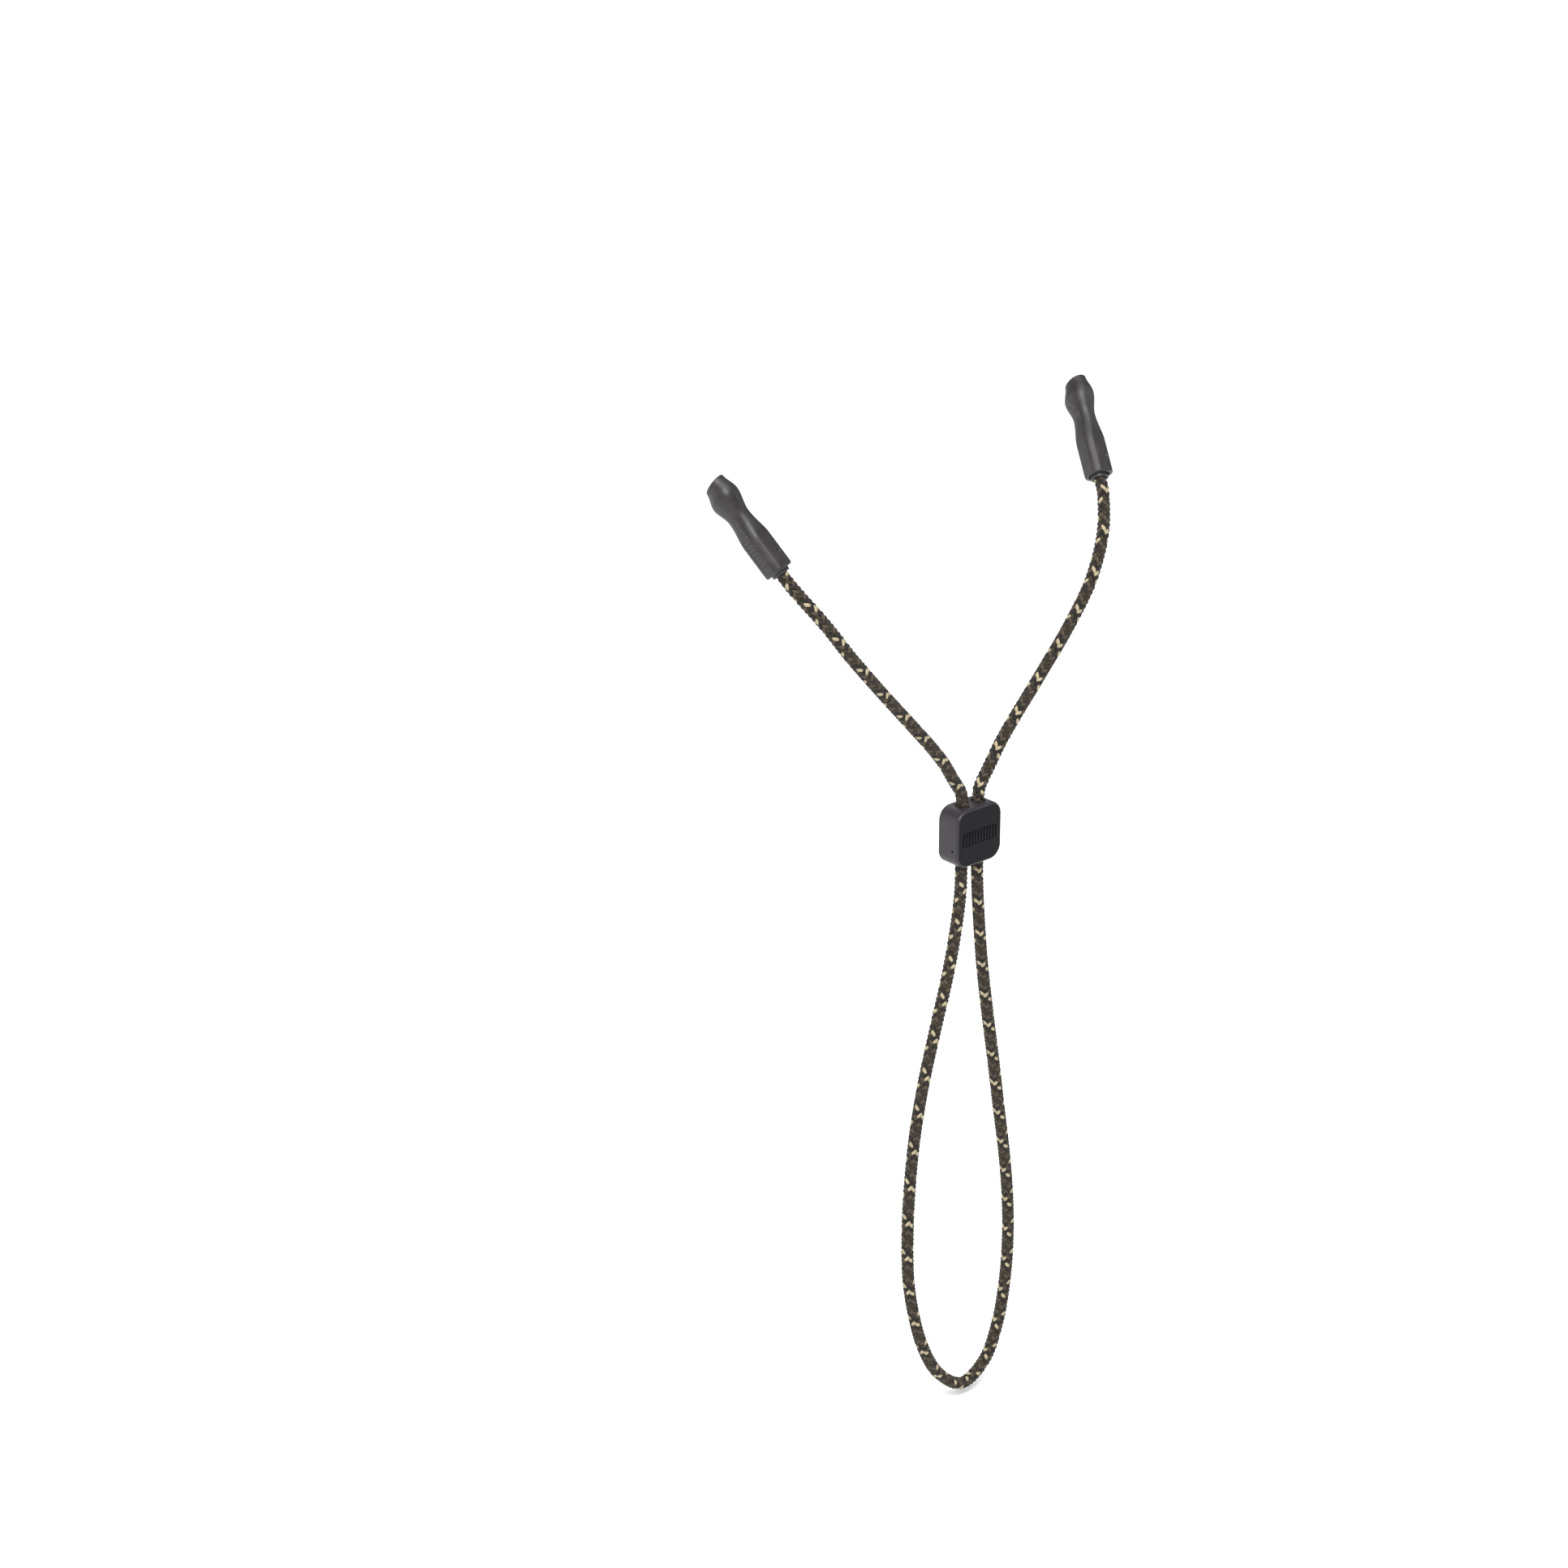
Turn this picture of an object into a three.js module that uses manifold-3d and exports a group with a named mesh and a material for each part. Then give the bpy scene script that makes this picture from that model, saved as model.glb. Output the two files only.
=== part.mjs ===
// Eyeglass retainer strap: two rubber temple grips, a braided cord and a friction slider.
// Millimetres. +X is the wearer's right, +Y points forward to the lenses, +Z is up.
// The origin lies midway between the mouths of the two grips.

import * as THREE from 'three';
import { mergeVertices } from 'three/addons/utils/BufferGeometryUtils.js';
import Module from 'manifold-3d';

const wasm = await Module();
wasm.setup();

// ---------------------------------------------------------------- driving dimensions

const clearance = 0.3; // between neighbouring pieces, all round

const cordDiameter = 3.0;
const cordSides = 8;
const crimpedCordDiameter = 2.3; // where a crimp squeezes the cord

const mouthSpacing = 126.5; // centre to centre of the two grip mouths
const gripTiltBack = THREE.MathUtils.degToRad(39);
const gripTiltIn = THREE.MathUtils.degToRad(15);

const gripLength = 27;
const lipWall = 0.95; // round the mouth of the socket
const headWall = 2.15; // beside the socket
const headTopWall = 2.5; // above and below the socket
const headFromMouth = 4.6;
const waistWall = 1.15; // beside the socket
const waistTopWall = 1.4; // above and below the socket
const waistFromMouth = 10.2;
const shankWall = 0.65; // beside the collar
const shankTopWall = 0.85; // above and below the collar
const shankFromExit = 9.4; // full section from here to the exit face
const shankChamfer = 1.2;
const exitEdge = 0.7;
const mouthSlope = 0.3; // rise of the rim per millimetre towards the wearer's back

const socketDepth = 14.5;
const socketWidth = 2.9;
const socketHeight = 4.0;
const socketTaper = 0.8; // size at the blind end as a share of the mouth

const collarWall = 0.65;
const collarLip = 0.25;
const collarStandOut = 0.9;
const collarSeat = 1.3;

const crimpLength = 5;
const crimpWall = 0.5;
const crimpShoulder = 0.6; // length over which the cord narrows into the crimp
const exitWeb = 1.5; // rubber between the collar seat and the crimp pocket

const markDiameter = 1.0; // blind moulding mark on the back of each grip
const markDepth = 0.6;
const markFromExit = 4.4;
const markOffset = 0.7;

const sliderWidth = 16;
const sliderHeight = 16;
const boreWall = 1.9; // in front of and behind the bores
const sliderCorner = 3.8;
const sliderEdge = 0.8;
const sliderTop = -94;
const sliderBack = -27.5; // depth of its mid plane
const boreSpacing = 5.7;
const sideMarkDiameter = 0.8;
const sideMarkDepth = 0.6;
const sideMarkUp = 5.0;
const sideMarkIn = 1.8;

// Sizes that follow from the ones above.

const cordBore = cordDiameter + 2 * clearance;
const collarDiameter = cordBore + 2 * collarWall;
const crimpInner = crimpedCordDiameter + 2 * clearance;
const crimpOuter = crimpInner + 2 * crimpWall;
const crimpFromExit = collarSeat + 2 * clearance + exitWeb;
const crimpTop = crimpFromExit + crimpLength;
const shankWidth = collarDiameter + 2 * (clearance + shankWall);
const shankHeight = collarDiameter + 2 * (clearance + shankTopWall);
const waistWidth = socketWidth + 2 * waistWall;
const waistHeight = socketHeight + 2 * waistTopWall;
const headWidth = socketWidth + 2 * headWall;
const headHeight = socketHeight + 2 * headTopWall;
const mouthWidth = socketWidth + 2 * lipWall;
const mouthHeight = socketHeight + 2 * lipWall;
const sliderDepth = cordBore + 2 * boreWall;

// ---------------------------------------------------------------- finishes

const rubber = () => new THREE.MeshStandardMaterial({ color: 0x454245, roughness: 0.62, metalness: 0 });
const sliderPlastic = () => new THREE.MeshStandardMaterial({ color: 0x2c2a2e, roughness: 0.5, metalness: 0 });
const crimpSteel = () => new THREE.MeshStandardMaterial({ color: 0xb4b6b8, roughness: 0.35, metalness: 1 });
const braid = () => new THREE.MeshStandardMaterial({ color: 0x4e473a, roughness: 0.85, metalness: 0 });

// ---------------------------------------------------------------- solids

/** Turns a closed three.js geometry into a manifold solid. */
function toSolid(geometry) {
  const plain = geometry.clone();
  plain.deleteAttribute('normal');
  plain.deleteAttribute('uv');
  const merged = mergeVertices(plain, 1e-4);
  return new wasm.Manifold(new wasm.Mesh({
    numProp: 3,
    vertProperties: new Float32Array(merged.attributes.position.array),
    triVerts: new Uint32Array(merged.index.array),
  }));
}

/** Turns a manifold solid back into a three.js geometry. */
function toGeometry(solid) {
  const mesh = solid.getMesh();
  const geometry = new THREE.BufferGeometry();
  geometry.setAttribute('position', new THREE.BufferAttribute(new Float32Array(mesh.vertProperties), 3));
  geometry.setIndex(new THREE.BufferAttribute(new Uint32Array(mesh.triVerts), 1));
  geometry.computeVertexNormals();
  return geometry;
}

/** A solid with others cut out of it. */
function cut(geometry, cutters) {
  let solid = toSolid(geometry);
  for (const cutter of cutters) {
    solid = solid.subtract(toSolid(cutter));
  }
  return toGeometry(solid);
}

/** A round bar along Z from one height to another. */
function rod(diameter, from, to, sides = 24) {
  const geometry = new THREE.CylinderGeometry(diameter / 2, diameter / 2, to - from, sides);
  geometry.rotateX(Math.PI / 2);
  geometry.translate(0, 0, (from + to) / 2);
  return geometry;
}

/** A round piece turned about Z from a closed profile of [radius, height] points. */
function turned(profile, sides = 24) {
  const points = profile.map(([radius, height]) => new THREE.Vector2(radius, height));
  const geometry = new THREE.LatheGeometry(points, sides);
  geometry.rotateX(Math.PI / 2);
  return geometry;
}

/** The value between stations [height, value], easing in and out of each one. */
function between(stations, height) {
  const next = stations.findIndex(([at]) => at >= height);
  if (next <= 0) {
    return next < 0 ? stations.at(-1)[1] : stations[0][1];
  }
  const [fromHeight, fromValue] = stations[next - 1];
  const [toHeight, toValue] = stations[next];
  const share = THREE.MathUtils.smoothstep(height, fromHeight, toHeight);
  return THREE.MathUtils.lerp(fromValue, toValue, share);
}

/** Where a ray at an angle leaves a chamfered rectangle, softened towards an ellipse by `roundness`. */
function sectionPoint(angle, halfWidth, halfHeight, chamfer, roundness) {
  const across = Math.abs(Math.cos(angle));
  const along = Math.abs(Math.sin(angle));
  const flats = Math.min(halfWidth / Math.max(across, 1e-6), halfHeight / Math.max(along, 1e-6));
  const corner = (halfWidth + halfHeight - chamfer) / (across + along);
  const ellipse = 1 / Math.hypot(across / halfWidth, along / halfHeight);
  const radius = THREE.MathUtils.lerp(Math.min(flats, corner), ellipse, roundness);
  return [radius * Math.cos(angle), radius * Math.sin(angle)];
}

/** A body along Z whose section follows width, height and roundness stations. */
function lofted(heights, widthAt, depthAt, roundnessAt, chamfer, sides) {
  const geometry = new THREE.CylinderGeometry(1, 1, 1, sides, heights.length - 1);
  geometry.rotateX(Math.PI / 2);
  const position = geometry.attributes.position;
  for (let index = 0; index < position.count; index += 1) {
    const level = Math.round((position.getZ(index) + 0.5) * (heights.length - 1));
    const height = heights[level];
    const flatRadius = Math.hypot(position.getX(index), position.getY(index));
    if (flatRadius < 0.5) {
      position.setXYZ(index, 0, 0, height);
      continue;
    }
    const angle = Math.atan2(position.getY(index), position.getX(index));
    const halves = [widthAt(height) / 2, depthAt(height) / 2];
    const [x, y] = sectionPoint(angle, ...halves, chamfer, roundnessAt(height));
    position.setXYZ(index, x, y, height);
  }
  return geometry;
}

// ---------------------------------------------------------------- temple grip
// Built upright: Z runs from the exit face at 0 up to the mouth, -Y is the wearer's back.

const headHeightAt = gripLength - headFromMouth;
const waistHeightAt = gripLength - waistFromMouth;

/** Leans the rim: everything above the waist rises towards the back. */
function leanMouth(geometry) {
  const position = geometry.attributes.position;
  for (let index = 0; index < position.count; index += 1) {
    const height = position.getZ(index);
    const share = THREE.MathUtils.clamp((height - waistHeightAt) / waistFromMouth, 0, 1);
    position.setZ(index, height - mouthSlope * share * position.getY(index));
  }
}

/** Outer skin of the grip. */
function gripSkin() {
  const widths = [
    [0, shankWidth - exitEdge],
    [exitEdge, shankWidth],
    [shankFromExit, shankWidth],
    [waistHeightAt, waistWidth],
    [headHeightAt, headWidth],
    [gripLength, mouthWidth],
  ];
  const depths = [
    [0, shankHeight - exitEdge],
    [exitEdge, shankHeight],
    [shankFromExit, shankHeight],
    [waistHeightAt, waistHeight],
    [headHeightAt, headHeight],
    [gripLength, mouthHeight],
  ];
  const roundness = [[0, 0.15], [shankFromExit, 0.15], [waistHeightAt, 0.8], [gripLength, 0.9]];
  const steps = 18;
  const heights = [0, exitEdge / 2];
  for (let step = 0; step <= steps; step += 1) {
    heights.push(THREE.MathUtils.lerp(exitEdge, gripLength, step / steps));
  }
  const skin = lofted(
    heights,
    (height) => between(widths, height),
    (height) => between(depths, height),
    (height) => between(roundness, height),
    shankChamfer,
    32,
  );
  leanMouth(skin);
  return skin;
}

/** The blind socket for the temple tip, running out past the rim. */
function gripSocket() {
  const bottom = gripLength - socketDepth;
  const past = gripLength + mouthHeight;
  const narrowing = (height) => {
    const share = Math.min((height - bottom) / socketDepth, 1);
    return THREE.MathUtils.lerp(socketTaper, 1, share);
  };
  return lofted(
    [bottom, THREE.MathUtils.lerp(bottom, gripLength, 0.5), gripLength, past],
    (height) => socketWidth * narrowing(height),
    (height) => socketHeight * narrowing(height),
    () => 0.7,
    0.6,
    24,
  );
}

/** One grip with its socket, cord bore, crimp pocket, collar seat and moulding mark. */
function gripGeometry() {
  const mark = rod(markDiameter, -markDepth, 1, 12);
  mark.rotateX(Math.PI / 2);
  mark.translate(markOffset, -shankHeight / 2, markFromExit);
  return cut(gripSkin(), [
    gripSocket(),
    rod(cordBore, -1, crimpFromExit),
    rod(crimpOuter + 2 * clearance, crimpFromExit - clearance, crimpTop + clearance),
    rod(collarDiameter + 2 * clearance, -1, collarSeat + clearance),
    mark,
  ]);
}

/** The ring that lines the exit and stands out of the end face. */
function collarGeometry() {
  const inner = cordBore / 2;
  const outer = collarDiameter / 2;
  return turned([
    [inner, -collarStandOut],
    [outer - collarLip, -collarStandOut],
    [outer, -collarStandOut + collarLip],
    [outer, collarSeat],
    [inner, collarSeat],
    [inner, -collarStandOut],
  ]);
}

/** The metal sleeve squeezed onto the end of the cord. */
function crimpGeometry() {
  return turned([
    [crimpInner / 2, crimpFromExit],
    [crimpOuter / 2, crimpFromExit],
    [crimpOuter / 2, crimpTop],
    [crimpInner / 2, crimpTop],
    [crimpInner / 2, crimpFromExit],
  ]);
}

/** The stretch of cord inside the grip, narrow where the crimp squeezes it. */
function cordEndGeometry() {
  const full = cordDiameter / 2;
  const narrow = crimpedCordDiameter / 2;
  const shoulder = crimpFromExit - clearance - crimpShoulder;
  return turned([
    [0, -collarStandOut],
    [full, -collarStandOut],
    [full, shoulder],
    [narrow, crimpFromExit - clearance],
    [narrow, crimpTop - clearance],
    [0, crimpTop - clearance],
  ], 16);
}

/** Direction from a grip's mouth to its exit; side is 1 on the wearer's right, -1 on the left. */
function gripDirection(side) {
  return new THREE.Vector3(
    -side * Math.sin(gripTiltIn),
    -Math.cos(gripTiltIn) * Math.sin(gripTiltBack),
    -Math.cos(gripTiltIn) * Math.cos(gripTiltBack),
  );
}

/** Centre of a grip's exit face. */
function gripExit(side) {
  const mouth = new THREE.Vector3(side * mouthSpacing / 2, 0, 0);
  return mouth.addScaledVector(gripDirection(side), gripLength);
}

// ---------------------------------------------------------------- slider

/** Rounded block with two parallel cord bores and a moulding mark on its left side. */
function sliderGeometry() {
  const halfWidth = sliderWidth / 2 - sliderEdge;
  const halfHeight = sliderHeight / 2 - sliderEdge;
  const corner = sliderCorner - sliderEdge;
  const outline = new THREE.Shape();
  outline.moveTo(halfWidth, -halfHeight + corner);
  outline.absarc(halfWidth - corner, halfHeight - corner, corner, 0, Math.PI / 2);
  outline.absarc(-halfWidth + corner, halfHeight - corner, corner, Math.PI / 2, Math.PI);
  outline.absarc(-halfWidth + corner, -halfHeight + corner, corner, Math.PI, 1.5 * Math.PI);
  outline.absarc(halfWidth - corner, -halfHeight + corner, corner, 1.5 * Math.PI, 2 * Math.PI);
  const block = new THREE.ExtrudeGeometry(outline, {
    depth: sliderDepth - 2 * sliderEdge,
    bevelThickness: sliderEdge,
    bevelSize: sliderEdge,
    bevelSegments: 3,
    curveSegments: 8,
  });
  block.translate(0, 0, -(sliderDepth / 2 - sliderEdge));
  block.rotateX(Math.PI / 2);

  const cutters = [-1, 1].map((side) => {
    const bore = rod(cordBore, -sliderHeight, sliderHeight);
    bore.translate(side * boreSpacing / 2, 0, 0);
    return bore;
  });
  const mark = rod(sideMarkDiameter, -1, sideMarkDepth, 12);
  mark.rotateY(Math.PI / 2);
  mark.translate(-sliderWidth / 2, -sliderDepth / 2 + sideMarkIn, -sliderHeight / 2 + sideMarkUp);
  cutters.push(mark);
  return cut(block, cutters);
}

// ---------------------------------------------------------------- cord

/** A cord stretch through a list of points. */
function cordTube(points, steps) {
  const ring = [];
  for (let index = 0; index < cordSides; index += 1) {
    const angle = (2 * Math.PI * index) / cordSides;
    ring.push(new THREE.Vector2(Math.cos(angle), Math.sin(angle)).multiplyScalar(cordDiameter / 2));
  }
  return new THREE.ExtrudeGeometry(new THREE.Shape(ring), {
    steps,
    bevelEnabled: false,
    extrudePath: new THREE.CatmullRomCurve3(points, false, 'centripetal'),
  });
}

// Points of the leg on the wearer's right, from the grip down to the slider.
const upperLeg = [
  [52.6, -22.0, -28.0],
  [50.2, -24.2, -31.8],
  [47.2, -26.0, -36.4],
  [42.4, -27.6, -43.4],
];
const lowerLeg = [
  [37.2, -28.2, -49.7],
  [31.7, -28.4, -56.0],
  [26.2, -28.3, -62.0],
  [20.7, -28.2, -68.0],
  [15.2, -28.0, -74.0],
  [10.2, -27.8, -80.0],
  [6.2, -27.6, -86.0],
];
const legJoin = [39.8, -28.0, -46.6];

// Points of the loop below the slider, [across, height], down the left and up the right.
const loopDown = [
  [-3.0, -118],
  [-4.4, -128],
  [-7.0, -140],
  [-11.4, -155],
  [-15.6, -170],
  [-18.6, -185],
  [-20.2, -200],
  [-20.7, -213],
  [-20.2, -226],
  [-17.9, -238],
  [-14.2, -249],
  [-8.4, -258.6],
];
const loopBottom = [0.6, -264.7];
const loopUp = [
  [8.8, -260.6],
  [13.5, -251],
  [16.0, -239],
  [16.9, -227],
  [16.5, -214],
  [14.9, -200],
  [12.4, -185],
  [10.0, -170],
  [7.6, -156],
  [5.3, -141],
  [3.9, -128],
  [3.1, -118],
];

/** Route of one leg's upper stretch, from the collar to where the two stretches meet. */
function upperLegRoute(side) {
  const fromExit = (distance) => gripExit(side).addScaledVector(gripDirection(side), distance);
  const start = collarStandOut + clearance;
  const chosen = upperLeg.map(([x, y, z]) => new THREE.Vector3(side * x, y, z));
  const join = new THREE.Vector3(side * legJoin[0], legJoin[1], legJoin[2]);
  return [fromExit(start), fromExit(start + cordDiameter), ...chosen, join];
}

/** Route of one leg's lower stretch, ending just above the slider's bore. */
function lowerLegRoute(side) {
  const bore = boreSpacing / 2;
  const join = new THREE.Vector3(side * legJoin[0], legJoin[1], legJoin[2]);
  const chosen = lowerLeg.map(([x, y, z]) => new THREE.Vector3(side * x, y, z));
  join.lerp(chosen[0], clearance / join.distanceTo(chosen[0]));
  return [
    join,
    ...chosen,
    new THREE.Vector3(side * (bore + 0.5), sliderBack, sliderTop + 3.6),
    new THREE.Vector3(side * bore, sliderBack, sliderTop + 3 * clearance),
  ];
}

/** Route of the loop, down through one bore and up through the other. */
function loopRoute() {
  const bore = boreSpacing / 2;
  const inBore = [sliderTop + clearance, sliderTop - sliderHeight / 2, sliderTop - sliderHeight];
  const at = (across, height) => new THREE.Vector3(across, sliderBack, height);
  return [
    ...inBore.map((height) => at(-bore, height)),
    ...[...loopDown, loopBottom, ...loopUp].map(([across, height]) => at(across, height)),
    ...inBore.reverse().map((height) => at(bore, height)),
  ];
}

// ---------------------------------------------------------------- assembly

const group = new THREE.Group();

/** Adds a named piece to a parent. */
function add(parent, name, geometry, material) {
  const mesh = new THREE.Mesh(geometry, material);
  mesh.name = name;
  parent.add(mesh);
}

for (const [label, side] of [['left', -1], ['right', 1]]) {
  const grip = new THREE.Group();
  const up = gripDirection(side).negate();
  const back = new THREE.Vector3(1, 0, 0).cross(up).normalize();
  const across = new THREE.Vector3().crossVectors(up, back);
  grip.position.copy(gripExit(side));
  grip.quaternion.setFromRotationMatrix(new THREE.Matrix4().makeBasis(across, back.negate(), up));
  group.add(grip);
  add(grip, `${label}_grip`, gripGeometry(), rubber());
  add(grip, `${label}_exit_collar`, collarGeometry(), rubber());
  add(grip, `${label}_cord_crimp`, crimpGeometry(), crimpSteel());
  add(grip, `${label}_cord_end`, cordEndGeometry(), braid());
  add(group, `${label}_cord_upper`, cordTube(upperLegRoute(side), 5), braid());
  add(group, `${label}_cord_lower`, cordTube(lowerLegRoute(side), 9), braid());
}

const slider = new THREE.Group();
slider.position.set(0, sliderBack, sliderTop - sliderHeight / 2);
group.add(slider);
add(slider, 'slider_block', sliderGeometry(), sliderPlastic());
add(group, 'cord_loop', cordTube(loopRoute(), 50), braid());

export default group;
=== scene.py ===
"""A retainer strap for glasses: two moulded temple grips, a braided cord and a friction slider.

The scene is in metres in the part's own frame: +X is the wearer's right, +Y points forward to the
lenses, +Z is up, and the origin lies midway between the mouths of the two grips. The size fields of
the pieces are in millimetres, and repeat the part's own.
"""

import functools
import logging
import math
from collections.abc import Sequence
from dataclasses import dataclass, field
from enum import Enum
from typing import Any

import bmesh
import bpy
from mathutils import Matrix, Vector


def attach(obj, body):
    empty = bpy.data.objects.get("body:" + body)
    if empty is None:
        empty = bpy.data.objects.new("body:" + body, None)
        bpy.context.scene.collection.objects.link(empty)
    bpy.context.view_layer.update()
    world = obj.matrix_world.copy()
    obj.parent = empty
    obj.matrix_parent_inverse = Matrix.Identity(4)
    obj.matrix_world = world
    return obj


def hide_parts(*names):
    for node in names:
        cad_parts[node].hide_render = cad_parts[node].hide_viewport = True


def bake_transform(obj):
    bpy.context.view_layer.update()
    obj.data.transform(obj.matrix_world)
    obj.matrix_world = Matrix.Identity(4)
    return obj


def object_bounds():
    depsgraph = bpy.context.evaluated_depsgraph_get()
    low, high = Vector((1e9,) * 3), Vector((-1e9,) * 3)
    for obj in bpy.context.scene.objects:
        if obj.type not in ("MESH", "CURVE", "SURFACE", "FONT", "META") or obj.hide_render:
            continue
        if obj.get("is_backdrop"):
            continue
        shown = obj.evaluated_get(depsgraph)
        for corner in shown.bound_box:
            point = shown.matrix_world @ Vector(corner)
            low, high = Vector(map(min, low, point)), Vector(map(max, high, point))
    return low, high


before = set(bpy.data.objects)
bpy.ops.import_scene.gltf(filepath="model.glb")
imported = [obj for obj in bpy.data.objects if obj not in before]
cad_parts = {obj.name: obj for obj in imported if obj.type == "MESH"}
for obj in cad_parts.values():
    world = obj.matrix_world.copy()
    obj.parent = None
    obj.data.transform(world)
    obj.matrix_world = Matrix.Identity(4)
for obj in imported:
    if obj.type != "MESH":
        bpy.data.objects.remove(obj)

MM = 0.001
FULL_TURN = 2 * math.pi
FORWARD = (0.0, 1.0, 0.0)
RANGE = ("Value", "From Min", "From Max", "To Min", "To Max")  # the inputs of a range node

log = logging.getLogger("strap")

Ring = list[Vector]
Span = tuple[float, float]
Place = tuple[float, float, float]


class Body(Enum):
    """The bodies of the part that pieces ride on."""

    GRIPS = "grips"
    CORD = "cord"
    SLIDER = "slider"


class Slot(Enum):
    """Names for the material slots of the new pieces."""

    GRIP = "grip_rubber"
    COLLAR = "collar_rubber"
    CORD = "braided_cord"
    SLIDER = "slider_rubber"


class Side(Enum):
    """The wearer's two sides."""

    LEFT = -1
    RIGHT = 1

    @property
    def label(self) -> str:
        """The word that starts the names of this side's pieces."""
        return self.name.lower()


class Yarn(Enum):
    """The dyed yarns of the braid, as sRGB hex."""

    CREAM = "a89c7e"
    TAUPE = "453b30"
    OLIVE = "2e2919"
    BROWN = "271f18"
    BLACK = "16120f"


class Ends(Enum):
    """How a skin's first and last rings are closed."""

    POLES = "a point in the middle of each"
    FLAT = "one flat face on each"
    JOINED = "joined to each other"


# ---------------------------------------------------------------- small helpers


def linear(colour: str) -> tuple[float, float, float, float]:
    """Turns six sRGB hex digits into linear red, green, blue and an alpha of 1."""
    parts = [int(colour[at : at + 2], 16) / 255 for at in (0, 2, 4)]
    red, green, blue = (p / 12.92 if p <= 0.04045 else ((p + 0.055) / 1.055) ** 2.4 for p in parts)
    return red, green, blue, 1.0


def add_node(
    tree: bpy.types.NodeTree, kind: str, inputs: dict | None = None, **settings: Any
) -> bpy.types.Node:
    """Adds a node to a tree, with its settings and links.

    Args:
        tree: The tree to add to.
        kind: The node's type name.
        inputs: By the input's name or number: a value, an output, or a node for its first output.
        **settings: The node's own properties.

    Returns:
        The new node.
    """
    node = tree.nodes.new(kind)
    for key, value in settings.items():
        setattr(node, key, value)
    for key, value in (inputs or {}).items():
        source = value.outputs[0] if isinstance(value, bpy.types.Node) else value
        if isinstance(source, bpy.types.NodeSocket):
            tree.links.new(source, node.inputs[key])
        else:
            node.inputs[key].default_value = value
    return node


def geometry_tree(
    name: str, sizes: dict[str, str]
) -> tuple[bpy.types.NodeTree, bpy.types.bpy_prop_collection]:
    """Starts a Geometry Nodes tree with named inputs.

    Args:
        name: The tree's name.
        sizes: Socket type by input name.

    Returns:
        The tree and the sockets of its inputs.
    """
    tree = bpy.data.node_groups.new(name, "GeometryNodeTree")
    tree.interface.new_socket("Geometry", in_out="OUTPUT", socket_type="NodeSocketGeometry")
    for label, kind in {"Geometry": "NodeSocketGeometry", **sizes}.items():
        tree.interface.new_socket(label, in_out="INPUT", socket_type=kind)
    return tree, add_node(tree, "NodeGroupInput").outputs


def grow(source: bpy.types.Object, tree: bpy.types.NodeTree, values: dict[str, Any]) -> None:
    """Runs a Geometry Nodes tree on an object and keeps the result as its plain mesh.

    Args:
        source: The object that the tree starts from.
        tree: The tree to run.
        values: Values by input name.
    """
    modifier = source.modifiers.new("grow", "NODES")
    modifier.node_group = tree
    for item in tree.interface.items_tree:
        if item.in_out == "INPUT" and item.name in values:
            modifier[item.identifier] = values[item.name]
    settle(source)


def settle(piece: bpy.types.Object) -> None:
    """Replaces a piece's mesh by its evaluated one and drops its modifiers."""
    depsgraph = bpy.context.evaluated_depsgraph_get()
    result = bpy.data.meshes.new_from_object(piece.evaluated_get(depsgraph))
    piece.modifiers.clear()
    piece.data = result
    result.name = piece.name


def new_piece(name: str, mesh: bpy.types.Mesh) -> bpy.types.Object:
    """Links a new object for a mesh, at the origin."""
    piece = bpy.data.objects.new(name, mesh)
    bpy.context.scene.collection.objects.link(piece)
    return piece


def declare(piece: bpy.types.Object, slot: Slot, body: Body, *replaced: str) -> None:
    """Hangs a rigid piece on the body that carries it and hides the nodes that it stands for.

    Args:
        piece: The piece.
        slot: Not used.
        body: The body that carries it.
        *replaced: The nodes that it replaces, if any.
    """
    if replaced:
        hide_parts(*replaced)
    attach(piece, body.value)
    log.info("%s: %d faces", piece.name, len(piece.data.polygons))


def mesh_from(name: str, shape: bmesh.types.BMesh, place: Matrix | None = None) -> bpy.types.Mesh:
    """Turns a closed bmesh into a smooth mesh, with its faces pointing outwards.

    Args:
        name: The mesh's name.
        shape: The bmesh, which is freed.
        place: Where to place it, or None to leave it.

    Returns:
        The mesh.
    """
    if place is not None:
        shape.transform(place)
    bmesh.ops.recalc_face_normals(shape, faces=shape.faces)
    mesh = bpy.data.meshes.new(name)
    shape.to_mesh(mesh)
    shape.free()
    mesh.shade_smooth()
    return mesh


def skinned(rings: Sequence[Ring], ends: Ends = Ends.POLES) -> bmesh.types.BMesh:
    """Joins rings of equal count into one closed skin.

    Args:
        rings: The rings in order.
        ends: How the first and last rings are closed.

    Returns:
        The skin.
    """
    shape = bmesh.new()
    made = [[shape.verts.new(point) for point in ring] for ring in rings]
    pairs = list(zip(made, made[1:]))
    if ends is Ends.JOINED:
        pairs.append((made[-1], made[0]))
    for lower, upper in pairs:
        for index in range(len(lower)):
            after = (index + 1) % len(lower)
            shape.faces.new((lower[index], lower[after], upper[after], upper[index]))
    if ends is Ends.FLAT:
        shape.faces.new(made[0])
        shape.faces.new(list(reversed(made[-1])))
    for ring in [made[0], made[-1]] if ends is Ends.POLES else []:
        pole = shape.verts.new(sum((v.co for v in ring), Vector()) / len(ring))
        for index in range(len(ring)):
            shape.faces.new((ring[index], ring[(index + 1) % len(ring)], pole))
    return shape


def smooth_share(value: float, start: float, end: float) -> float:
    """Eases from 0 at start to 1 at end."""
    share = min(max((value - start) / (end - start), 0.0), 1.0)
    return share * share * (3 - 2 * share)


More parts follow.
